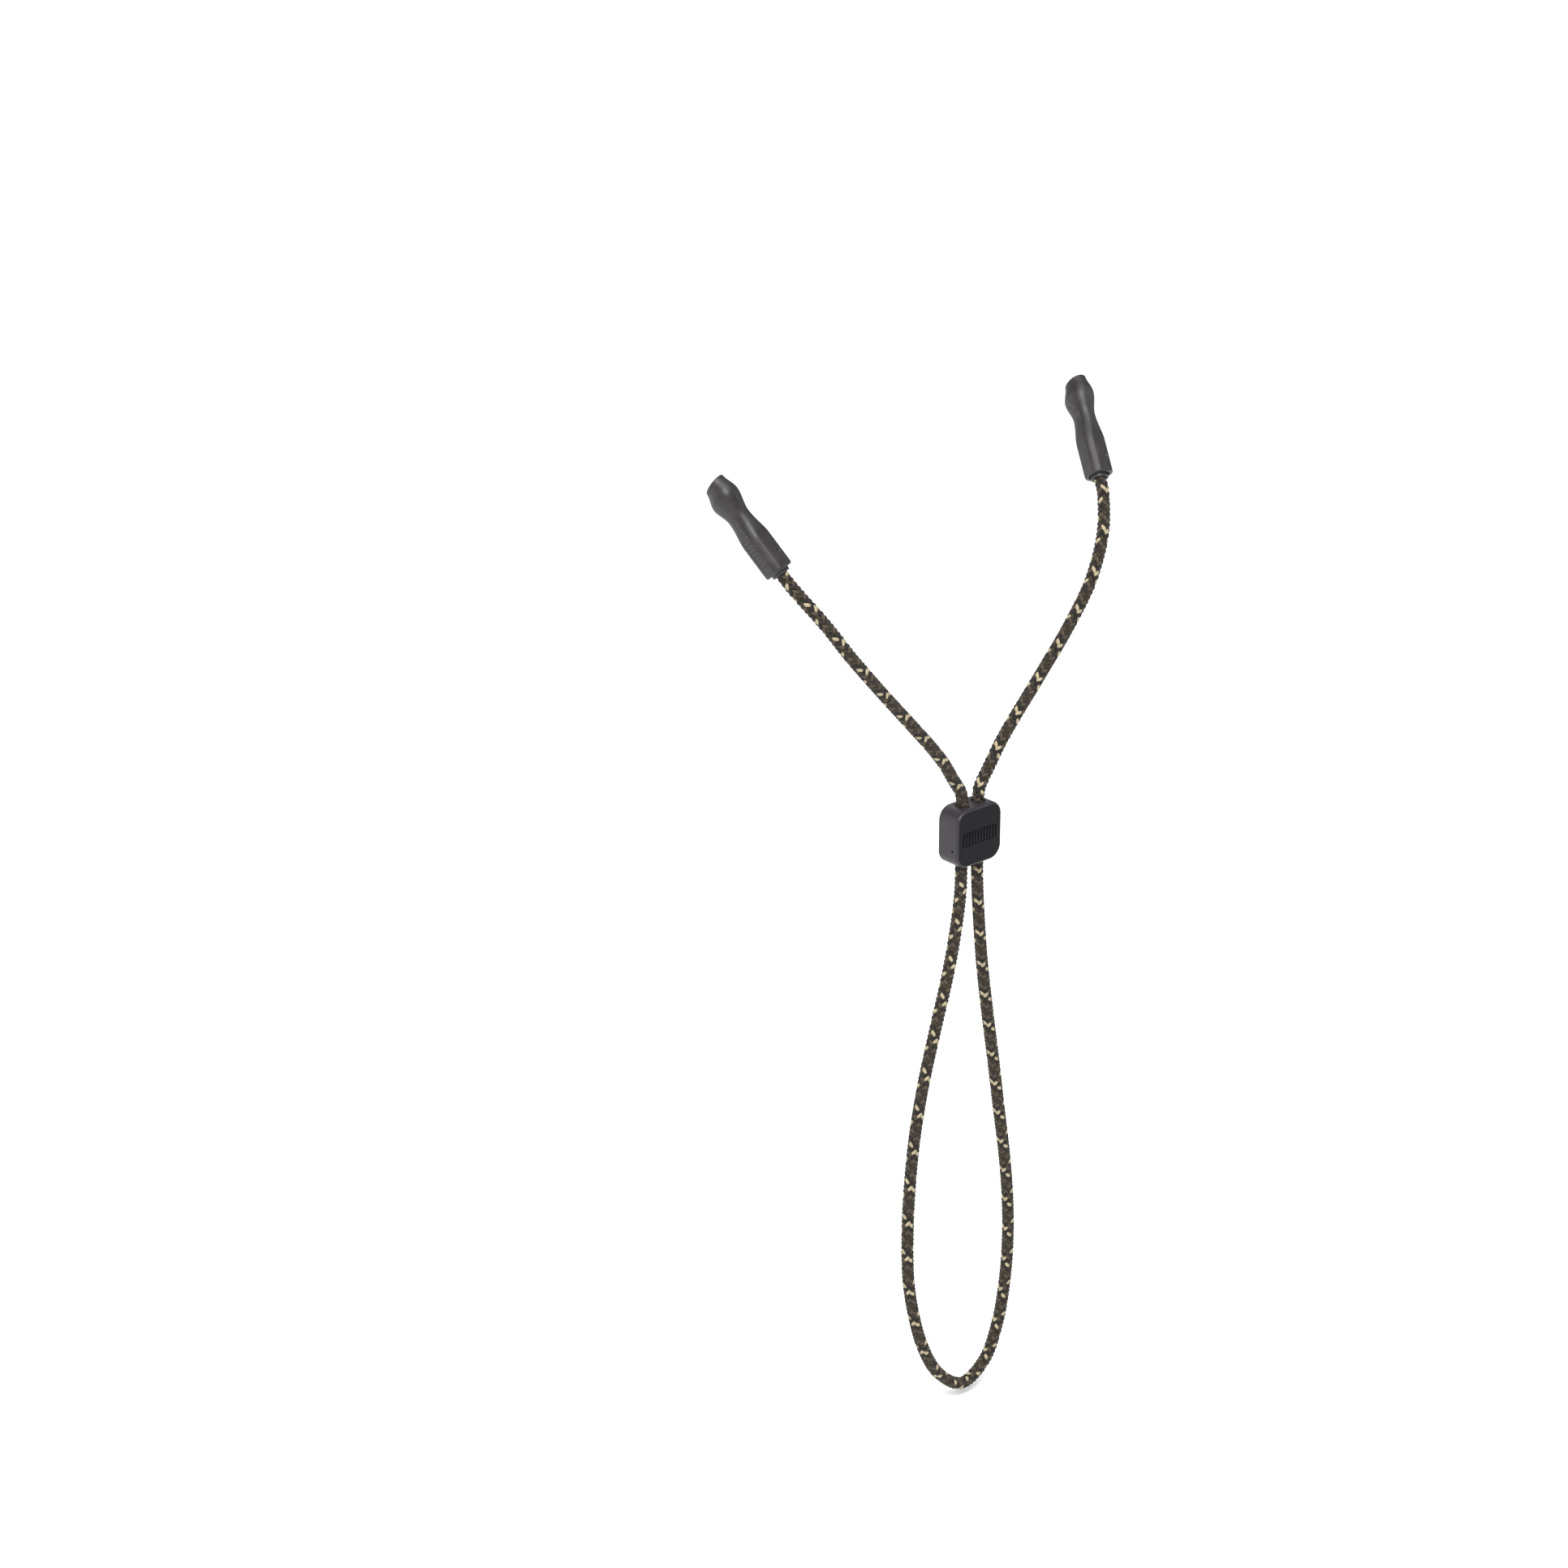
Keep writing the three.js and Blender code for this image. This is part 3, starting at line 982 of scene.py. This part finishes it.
        real = add_node(tree, "GeometryNodeRealizeInstances", {"Geometry": whole})
        smooth = add_node(tree, "GeometryNodeSetShadeSmooth", {"Geometry": real})
        dressed = add_node(
            tree, "GeometryNodeSetMaterial", {"Geometry": smooth, "Material": size["Material"]}
        )
        add_node(tree, "NodeGroupOutput", {0: dressed})
        return tree

    def runs(self, marks: Sequence[int], line: Sequence[Vector]) -> list[CordRun]:
        """Cuts the route at the joins, in the bores and at the bottom of the loop.

        Args:
            marks: The number of the fine point at each point of the route.
            line: The fine points.

        Returns:
            The six runs.
        """
        upper_end = 2 + len(self.upper)
        lower_end = upper_end + len(self.lower) + 2
        bottom = lower_end + len(self.bore_points) + len(self.loop_down) + 1
        total = len(marks) - 1
        cuts = [0, upper_end, lower_end, bottom, total - lower_end, total - upper_end, total]
        joins = [line[marks[cut]] for cut in cuts]
        hang = (
            Vector((0.0, self.depth, self.bore_points[-1])),
            Vector((0.0, self.depth, self.foot)),
        )
        (left, right), loop = self.leg_twists, self.loop_twist
        upper, lower = self.upper_turn_length, self.lower_turn_length
        down, up = self.loop_turn_lengths
        from_grips, to_slider = (Body.GRIPS, Body.CORD), (Body.CORD, Body.SLIDER)
        round_loop = (Body.SLIDER, Body.CORD)
        table = (
            ("left_cord_upper", "left_cord_upper", from_grips, (joins[0], joins[1]), upper, left),
            ("left_cord_lower", "left_cord_lower", to_slider, (joins[1], joins[2]), lower, None),
            ("left_cord_loop", "cord_loop", round_loop, hang, down, loop),
            ("right_cord_loop", "cord_loop", round_loop, hang, up, None),
            ("right_cord_lower", "right_cord_lower", to_slider, (joins[5], joins[4]), lower, right),
            ("right_cord_upper", "right_cord_upper", from_grips, (joins[6], joins[5]), upper, None),
        )
        return [
            CordRun(f"{name}_braid", *rest, first=marks[start], last=marks[end])
            for (name, *rest), start, end in zip(table, cuts, cuts[1:])
        ]

    def build(self) -> None:
        """Makes and places the six runs, and hides the nodes that they stand for."""
        line, marks = self.fine_line(self.route())
        tree = self.tree()
        turned = twisted = 0.0
        for run in self.runs(marks, line):
            points = [point * MM for point in line[run.first : run.last + 1]]
            length = sum((b - a).length for a, b in zip(points, points[1:]))
            mesh = bpy.data.meshes.new(run.name)
            mesh.from_pydata(points, [(at, at + 1) for at in range(len(points) - 1)], [])
            piece = new_piece(run.name, mesh)
            turn_length = run.turn_length * MM
            twisted = twisted if run.new_twist is None else run.new_twist
            values = {
                "Turn Length": turn_length,
                "Carriers": self.carriers,
                "Mean Radius": self.yarn_radius * MM,
                "Interlacing": self.interlacing * MM,
                "Swell": self.swell,
                "Yarn Width": self.yarn_width * MM,
                "Yarn Thickness": self.yarn_thickness * MM,
                "Segment": length / round(length / (turn_length / self.steps_per_turn)),
                "Core Radius": self.core_diameter / 2 * MM,
                "Start Turn": turned,
                "Start Twist": twisted,
                "Twist Rate": self.twist_rate / MM,
                "Material": self.finishes.braid,
            }
            grow(piece, tree, values)
            turned += length / turn_length
            twisted += self.twist_rate * length / MM
            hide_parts(run.replaced)
            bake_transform(piece)
            faces = len(piece.data.polygons)
            log.info("%s: %.1f mm of cord, %d faces", run.name, length / MM, faces)


# ---------------------------------------------------------------- rows of ribs


@dataclass
class RibRow:
    """A row of raised bars with rounded upper edges, where a mark would be."""

    count: int
    width: float
    length: float
    depth: float  # of the bed it stands in, which it fills
    edge: float
    sunk: float = 0.3  # how far a bar reaches below the bed

    def bar(self) -> bmesh.types.BMesh:
        """One bar, as wide along X and as long along Y, that stands up through the XY plane."""
        shape = bmesh.new()
        bmesh.ops.create_cube(shape, size=1.0)
        height = self.depth + self.sunk
        for vertex in shape.verts:
            x, y, z = vertex.co
            vertex.co = Vector((x * self.width, y * self.length, (z + 0.5) * height - self.sunk))
        upper = [side for side in shape.edges if max(v.co.z for v in side.verts) > 0]
        bmesh.ops.bevel(
            shape, geom=upper, offset=self.edge, segments=2, profile=0.5, affect="EDGES"
        )
        return shape

    @staticmethod
    @functools.cache
    def tree() -> bpy.types.NodeTree:
        """Builds the tree that sets copies of one bar in a row, which all the rows share."""
        tree, size = geometry_tree(
            "rib_row",
            {
                "Count": "NodeSocketInt",
                "Step": "NodeSocketVector",
                "Start": "NodeSocketVector",
                "Material": "NodeSocketMaterial",
            },
        )
        places = {"Count": size["Count"], "Start Location": size["Start"], "Offset": size["Step"]}
        row = add_node(tree, "GeometryNodeMeshLine", places, mode="OFFSET")
        bars = add_node(
            tree, "GeometryNodeInstanceOnPoints", {"Points": row, "Instance": size["Geometry"]}
        )
        real = add_node(tree, "GeometryNodeRealizeInstances", {"Geometry": bars})
        dressed = add_node(
            tree, "GeometryNodeSetMaterial", {"Geometry": real, "Material": size["Material"]}
        )
        add_node(tree, "NodeGroupOutput", {0: dressed})
        return tree

    def build(
        self,
        name: str,
        turn: Matrix,
        start: Place,
        step: Place,
        placing: Matrix,
        material: bpy.types.Material,
    ) -> bpy.types.Object:
        """Makes the row.

        Args:
            name: The piece's name.
            turn: Turns an upright bar to stand out of its face.
            start: The first bar's place.
            step: From one bar to the next.
            placing: Takes millimetres on the object to metres in the scene.
            material: What the bars are made of.

        Returns:
            The row, not yet declared.
        """
        piece = new_piece(name, mesh_from("ribs", self.bar(), turn))
        values = {"Count": self.count, "Step": step, "Start": start, "Material": material}
        grow(piece, self.tree(), values)
        piece.data.transform(placing)
        piece.data.shade_smooth()
        return piece


# ---------------------------------------------------------------- the temple grips


@dataclass
class TempleGrip:
    """A moulded rubber grip with its exit collar, crimp and cord end.

    Built upright: Z runs from the exit face at 0 up to the mouth, and -Y is the wearer's back.
    """

    side: Side
    finishes: Finishes
    mouth_offset: float = 63.25
    tilt_back: float = math.radians(39)
    tilt_in: float = math.radians(15)
    length: float = 27.0
    shank: Span = (6.8, 7.2)
    waist: Span = (5.2, 6.8)
    head: Span = (7.2, 9.0)
    mouth: Span = (5.5, 6.6)
    shank_end: float = 9.4
    waist_height: float = 16.8
    head_height: float = 22.4
    shank_roundness: float = 0.15  # 0 for a rectangle, 1 for an ellipse
    waist_roundness: float = 0.8
    mouth_roundness: float = 0.9
    chamfer: float = 1.5
    end_round: float = 0.7
    lip_round: float = 0.3
    socket_round: float = 0.24
    mouth_slope: float = 0.3
    socket: Span = (2.9, 4.0)
    socket_bottom: float = 12.5
    socket_taper: float = 0.8
    socket_roundness: float = 0.7
    socket_chamfer: float = 0.6
    floor_dish: float = 0.15
    floor_rings: tuple[float, ...] = (0.97, 0.85, 0.6, 0.3)  # shares of the socket's size
    bore_radius: float = 1.8
    pocket: Place = (2.25, 3.1, 8.7)  # radius, bottom and top
    pocket_edge: float = 0.1
    seat: Span = (2.75, 1.6)  # radius and depth
    seat_edge: float = 0.06
    exit_rim: tuple[Span, ...] = ((0.0, 0.15), (0.04, 0.04), (0.12, 0.0))  # outwards and up
    crisp_edge: float = 0.05
    collar_radius: float = 2.45
    collar_seat: float = 1.3
    collar_stand_out: float = 0.9
    collar_lip: float = 0.25
    collar_inner_round: float = 0.15
    mark: tuple[float, float, float, float] = (0.7, 4.4, 0.5, 0.5)  # across, up, radius, depth
    mark_bead: Place = (1.45, 0.14, 0.07)  # its radius as a share of the mark's, spread, height
    pad: Place = (6.4, 9.0, 3.1)  # middle height, length, width
    pad_depth: float = 0.16
    pad_offset: float = -0.4
    ribs: int = 8
    rib_width: float = 0.42
    rib_edge: float = 0.12
    rib_gap: float = 0.3  # from the ribs' ends to the edges of their bed, both together
    edge_hardness: float = 18.0
    sides: int = 144
    collar_sides: int = 72
    shank_step: float = 0.16  # between the rings of the outside
    head_step: float = 0.3
    arc_steps: tuple[int, int] = (6, 4)  # round the exit's edges, and round the lips
    socket_rings: int = 24

    @property
    def up(self) -> Vector:
        """Direction from the exit to the mouth."""
        inward = self.side.value * math.sin(self.tilt_in)
        level = math.cos(self.tilt_in)
        return Vector((inward, level * math.sin(self.tilt_back), level * math.cos(self.tilt_back)))

    def from_exit(self, distance: float) -> Vector:
        """The point on the grip's axis that lies this far outside its exit face."""
        mouth = Vector((self.side.value * self.mouth_offset, 0, 0))
        return mouth - self.up * (self.length + distance)

    @property
    def placing(self) -> Matrix:
        """Takes upright millimetres to the part's own place, in metres."""
        back = Vector((1, 0, 0)).cross(self.up).normalized()
        across = self.up.cross(back)
        turn = Matrix((across, -back, self.up)).transposed().to_4x4()
        return Matrix.Translation(self.from_exit(0) * MM) @ turn @ Matrix.Scale(MM, 4)

    def section(self, height: float, half: Span, roundness: float, chamfer: float) -> Ring:
        """One ring of the skin: a chamfered rectangle with softened edges, eased to an ellipse.

        Args:
            height: The ring's height.
            half: Half its width and half its depth.
            roundness: 0 for the rectangle, 1 for the ellipse.
            chamfer: Leg of the rectangle's chamfers.

        Returns:
            The ring's points.
        """
        ring = []
        for index in range(self.sides):
            angle = FULL_TURN * index / self.sides
            across, along = abs(math.cos(angle)), abs(math.sin(angle))
            cut = (across + along) / (sum(half) - chamfer)
            limits = (across / half[0], along / half[1], cut)
            total = sum(limit**self.edge_hardness for limit in limits)
            boxed = total ** (-1 / self.edge_hardness)
            oval = 1 / math.hypot(across / half[0], along / half[1])
            radius = boxed + (oval - boxed) * roundness
            ring.append(Vector((radius * math.cos(angle), radius * math.sin(angle), height)))
        return ring

    def outer_half(self, height: float) -> Span:
        """Half width and half depth of the outside at a height."""
        heights = (self.shank_end, self.waist_height, self.head_height, self.length)
        widths, depths = zip(self.shank, self.waist, self.head, self.mouth)
        width, depth = (between(list(zip(heights, sizes)), height) for sizes in (widths, depths))
        return width / 2, depth / 2

    def outside(self) -> list[Ring]:
        """The rings of the outside, from the rounded exit edge to the rounded lip."""
        roundness = [
            (self.shank_end, self.shank_roundness),
            (self.waist_height, self.waist_roundness),
            (self.length, self.mouth_roundness),
        ]
        rings = []
        for drop, rise in reversed(quarter(self.arc_steps[0])[1:]):
            inset = self.end_round / 2 * (1 - drop)
            half = (self.shank[0] / 2 - inset, self.shank[1] / 2 - inset)
            level = self.end_round * (1 - rise)
            rings.append(self.section(level, half, self.shank_roundness, self.chamfer))
        height = self.end_round
        top = self.length - self.lip_round
        while height < top - self.crisp_edge:
            half = self.outer_half(height)
            rings.append(self.section(height, half, between(roundness, height), self.chamfer))
            height += self.shank_step if height < self.shank_end + 1 else self.head_step
        width, depth = self.outer_half(top)
        for drop, rise in quarter(self.arc_steps[1]):
            inset = self.lip_round * (1 - drop)
            half = (width - inset, depth - inset)
            level = top + self.lip_round * rise
            rings.append(self.section(level, half, self.mouth_roundness, self.chamfer))
        return rings

    def inside(self) -> list[Ring]:
        """The rings of the blind socket, from its rounded rim down to its floor."""
        rim = self.socket_round
        mouth, bottom = self.length - rim, self.socket_bottom
        depth = mouth - bottom
        steps = range(1, self.socket_rings + 1)
        walls = [mouth - depth * step / self.socket_rings for step in steps]
        floor = self.socket_half(bottom, 0.0)
        places = [
            (self.length - rim * (1 - rise), self.socket_half(self.length, rim * (1 - drop)), 1.0)
            for drop, rise in reversed(quarter(self.arc_steps[1]))
        ]
        places += [(height, self.socket_half(height, 0.0), 1.0) for height in walls]
        for share in self.floor_rings:
            half = (floor[0] * share, floor[1] * share)
            places.append((bottom - self.floor_dish * (1 - share), half, share))
        return [
            self.section(height, half, self.socket_roundness, self.socket_chamfer * share)
            for height, half, share in places
        ]

    def socket_half(self, height: float, flare: float) -> Span:
        """Half width and half depth of the socket at a height, opened out by a flare."""
        share = (height - self.socket_bottom) / (self.length - self.socket_bottom)
        narrowing = self.socket_taper + (1 - self.socket_taper) * share
        return self.socket[0] / 2 * narrowing + flare, self.socket[1] / 2 * narrowing + flare

    def passage(self) -> list[Ring]:
        """The rings of the cord's way in, from the pocket's ceiling down to the end face."""
        radius, bottom, top = self.pocket
        seat_radius, seat_depth = self.seat
        bore, edge = self.bore_radius, self.pocket_edge
        profile = [
            (radius * 0.5, top),
            (radius - edge, top),
            (radius, top - edge),
            (radius, (bottom + top) / 2),
            (radius, bottom + edge),
            (radius - edge, bottom),
            (bore + edge, bottom),
            (bore, bottom - edge),
            (bore, seat_depth + self.crisp_edge),
            (bore + self.crisp_edge, seat_depth),
            (seat_radius - self.seat_edge, seat_depth),
            (seat_radius, seat_depth - self.seat_edge),
            *((seat_radius + outwards, height) for outwards, height in self.exit_rim),
        ]
        return [circle(at, height, self.sides) for at, height in profile]

    def lean(self, shape: bmesh.types.BMesh) -> None:
        """Leans the rim: everything above the waist rises towards the back."""
        for vertex in shape.verts:
            share = (vertex.co.z - self.waist_height) / (self.length - self.waist_height)
            vertex.co.z -= self.mouth_slope * min(max(share, 0.0), 1.0) * vertex.co.y

    def press(self, shape: bmesh.types.BMesh) -> None:
        """Presses the moulding mark into the back and a bed for the ribs into the outer face."""
        across, up, radius, depth = self.mark
        bead, spread, bead_height = self.mark_bead
        middle, length, width = self.pad
        for vertex in shape.verts:
            x, y, z = vertex.co
            if y < -self.shank[1] / 2 + 0.4 and z < self.shank_end:
                away = math.hypot(x - across, z - up)
                ring = math.exp(-(((away - radius * bead) / spread) ** 2)) * bead_height
                pit = depth * (1 - smooth_share(away, radius * 0.7, radius * 1.15))
                vertex.co.y += pit - ring
            if x * self.side.value > self.shank[0] / 2 - 0.25 and 0.5 < z < self.length / 2:
                edge = max(abs(z - middle) - length / 2, abs(y - self.pad_offset) - width / 2)
                bed = self.pad_depth * (1 - smooth_share(edge, -0.1, 0.1))
                vertex.co.x -= self.side.value * bed

    def build_body(self) -> None:
        """Makes the grip itself, as one closed skin from the crimp pocket round to the socket."""
        shape = skinned([*self.passage(), *self.outside(), *self.inside()])
        self.lean(shape)
        self.press(shape)
        mesh = mesh_from("grip", shape, self.placing)
        mesh.materials.append(self.finishes.grip)
        piece = new_piece(f"{self.side.label}_grip_moulding", mesh)
        declare(piece, Slot.GRIP, Body.GRIPS, f"{self.side.label}_grip")

    def build_ribs(self) -> None:
        """Makes the row of ribs on the outer face."""
        middle, length, width = self.pad
        step = length / self.ribs
        face = self.side.value * (self.shank[0] / 2 - self.pad_depth)
        rib_length = width - self.rib_gap
        row = RibRow(self.ribs, self.rib_width, rib_length, self.pad_depth, self.rib_edge)
        piece = row.build(
            f"{self.side.label}_grip_ribs",
            Matrix.Rotation(math.radians(90) * self.side.value, 4, "Y"),
            (face, self.pad_offset, middle - length / 2 + step / 2),
            (0.0, 0.0, step),
            self.placing,
            self.finishes.grip,
        )
        declare(piece, Slot.GRIP, Body.GRIPS)

    def build_collar(self) -> None:
        """Makes the ring that lines the exit and stands out of the end face."""
        inner, outer, lip = self.bore_radius, self.collar_radius, self.collar_lip
        low, high = -self.collar_stand_out, self.collar_seat
        bend, edge = self.collar_inner_round, self.crisp_edge
        outer_round = [
            (outer - lip + lip * rise, low + lip - lip * drop) for drop, rise in quarter(6)
        ]
        inner_round = [
            (inner + bend * (1 - rise), low + bend - bend * drop) for drop, rise in quarter(4)
        ]
        profile = [*outer_round, (outer, 0.0), (outer, high - edge), (outer - edge, high)]
        profile += [(inner + edge, high), (inner, high - edge), (inner, 0.0)]
        profile += reversed(inner_round)
        rings = [circle(radius, height, self.collar_sides) for radius, height in profile]
        mesh = mesh_from("collar", skinned(rings, Ends.JOINED), self.placing)
        mesh.materials.append(self.finishes.collar)
        piece = new_piece(f"{self.side.label}_exit_ring", mesh)
        declare(piece, Slot.COLLAR, Body.GRIPS, f"{self.side.label}_exit_collar")

    def dress_hidden(self) -> None:
        """Gives the crimp and the sealed cord end, which keep their shapes, their finishes."""
        hidden = {"cord_crimp": self.finishes.crimp, "cord_end": self.finishes.sealed}
        for suffix, material in hidden.items():
            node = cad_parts[f"{self.side.label}_{suffix}"]
            for slot in node.material_slots:
                slot.material = material
            log.info("%s: carried over", node.name)

    def build(self) -> None:
        """Makes every piece of this grip."""
        self.build_body()
        self.build_ribs()
        self.build_collar()
        self.dress_hidden()


# ---------------------------------------------------------------- the slider


@dataclass
class FrictionSlider:
    """The moulded rubber slider, with two cord bores and a ribbed patch on its back."""

    finishes: Finishes
    width: float = 16.0
    height: float = 16.0
    depth: float = 7.4
    corner: float = 3.8
    edge: float = 0.8
    middle: Place = (0.0, -27.5, -102.0)
    bore_radius: float = 1.8
    bore_offset: float = 2.85
    bore_round: float = 0.25
    side_mark: tuple[float, float, float, float] = (0.4, 0.5, -1.9, -3.0)  # radius, depth, back, up
    patch: Place = (12.2, 3.9, -0.1)  # width, height, height above the middle
    patch_depth: float = 0.25
    patch_corner: float = 0.5
    ribs: int = 11
    rib_width: float = 0.5
    rib_edge: float = 0.14
    rib_gap: float = 0.5  # from the ribs' ends to the edges of their bed, both together
    row_gap: float = 0.7  # the same, for the row's ends
    overcut: float = 1.0  # how far the cutters reach out of the block
    corner_steps: int = 16
    bore_sides: int = 64
    mark_sides: int = 32
    mark_edge: float = 0.1
    flatness: float = 0.97  # a face that looks this squarely back or forward gets the darker material: painted shade, with a smoother finish
    sharp_angle: float = math.radians(40)

    @property
    def placing(self) -> Matrix:
        """Takes millimetres round the slider's middle to its place, in metres."""
        return Matrix.Translation(Vector(self.middle) * MM) @ Matrix.Scale(MM, 4)

    def block(self) -> bmesh.types.BMesh:
        """The block without its bores."""
        reach = (self.width / 2 - self.corner, self.height / 2 - self.corner)
        half, edge, steps = self.depth / 2, self.edge, self.corner_steps
        back, front = [], []
        for drop, rise in quarter(6):
            radius = self.corner - edge * (1 - rise)
            back.append(rounded_ring(reach, radius, -half + edge * (1 - drop), steps))
            front.append(rounded_ring(reach, radius, half - edge * (1 - drop), steps))
        return skinned([*back, *reversed(front)], Ends.FLAT)

    def bore_cutter(self, side: Side) -> bmesh.types.BMesh:
        """A rod with flared ends that cuts one bore and rounds its two rims."""
        reach, radius, edge = self.height / 2, self.bore_radius, self.bore_round
        flare = [
            (radius + edge * (1 - drop), reach - edge * (1 - rise)) for drop, rise in quarter(5)
        ]
        upper = [*flare, (radius + edge, reach + self.overcut)]
        profile = [(at, -height) for at, height in reversed(upper)] + upper
        shape = skinned([circle(at, height, self.bore_sides) for at, height in profile])
        shape.transform(Matrix.Translation((side.value * self.bore_offset, 0, 0)))
        return shape

    def mark_cutter(self) -> bmesh.types.BMesh:
        """A short round rod that cuts the moulding mark into the left side."""
        radius, depth, back, up = self.side_mark
        edge = self.mark_edge
        profile = [(radius, -self.overcut), (radius, depth - edge), (radius - edge, depth)]
        shape = skinned([circle(at, height, self.mark_sides) for at, height in profile])
        place = Matrix.Translation((-self.width / 2, back, up))
        shape.transform(place @ Matrix.Rotation(math.pi / 2, 4, "Y"))
        return shape

    def patch_cutter(self) -> bmesh.types.BMesh:
        """A rounded plate that sinks the bed of the ribs into the back."""
        width, height, above = self.patch
        corner, back = self.patch_corner, -self.depth / 2
        reach = (width / 2 - corner, height / 2 - corner)
        places = (back - self.overcut, back + self.patch_depth)
        return skinned([rounded_ring(reach, corner, at, 6, above) for at in places])

    def build_block(self) -> None:
        """Makes the block, cuts its bores, mark and bed, and dresses it."""
        piece = new_piece("slider_moulding", mesh_from("slider", self.block()))
        bores = [self.bore_cutter(side) for side in Side]
        tools = []
        for shape in (*bores, self.mark_cutter(), self.patch_cutter()):
            tools.append(new_piece("cutter", mesh_from("cutter", shape)))
            modifier = piece.modifiers.new("cut", "BOOLEAN")
            modifier.operation = "DIFFERENCE"
            modifier.solver = "EXACT"
            modifier.object = tools[-1]
        settle(piece)
        for tool in tools:
            bpy.data.objects.remove(tool)
        mesh = piece.data
        mesh.materials.clear()
        mesh.materials.append(self.finishes.slider)
        mesh.materials.append(self.finishes.shaded_slider_face)
        # Faces that look back or forward take the second, darker material: painted shade.
        for face in mesh.polygons:
            face.use_smooth = True
            face.material_index = int(abs(face.normal.y) > self.flatness)
        mesh.set_sharp_from_angle(angle=self.sharp_angle)
        piece.modifiers.new("weighted", "WEIGHTED_NORMAL").keep_sharp = True
        settle(piece)
        piece.data.transform(self.placing)
        declare(piece, Slot.SLIDER, Body.SLIDER, "slider_block")

    def build_ribs(self) -> None:
        """Makes the upright ribs of the patch."""
        width, height, above = self.patch
        step = (width - self.row_gap) / self.ribs
        rib_length = height - self.rib_gap
        row = RibRow(self.ribs, self.rib_width, rib_length, self.patch_depth, self.rib_edge)
        piece = row.build(
            "slider_ribs",
            Matrix.Rotation(math.pi / 2, 4, "X"),
            (-step * (self.ribs - 1) / 2, -self.depth / 2 + self.patch_depth, above),
            (step, 0.0, 0.0),
            self.placing,
            # the ribs take the darker face material too: painted shade in their bed
            self.finishes.shaded_slider_face,
        )
        declare(piece, Slot.SLIDER, Body.SLIDER)

    def build(self) -> None:
        """Makes the slider and its ribs."""
        self.build_block()
        self.build_ribs()


# ---------------------------------------------------------------- the whole strap


def plain(corners: tuple[Vector, Vector]) -> list[list[float]]:
    """Turns a box's two corners into plain lists of numbers."""
    return [[float(value) for value in corner] for corner in corners]


def main() -> None:
    """Builds the camera, the cord, the grips, the slider and the studio."""
    logging.basicConfig(level=logging.INFO, format="%(name)s: %(message)s")
    cad_box = plain(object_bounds())
    studio = Studio()
    studio.set_camera()
    finishes = Finishes()
    grips = {side: TempleGrip(side, finishes) for side in Side}
    BraidedCord(finishes, grips).build()
    for grip in grips.values():
        grip.build()
    FrictionSlider(finishes).build()
    studio.set_lights()
    studio.lay_floor(cad_box[0][2])


if __name__ == "__main__":
    main()
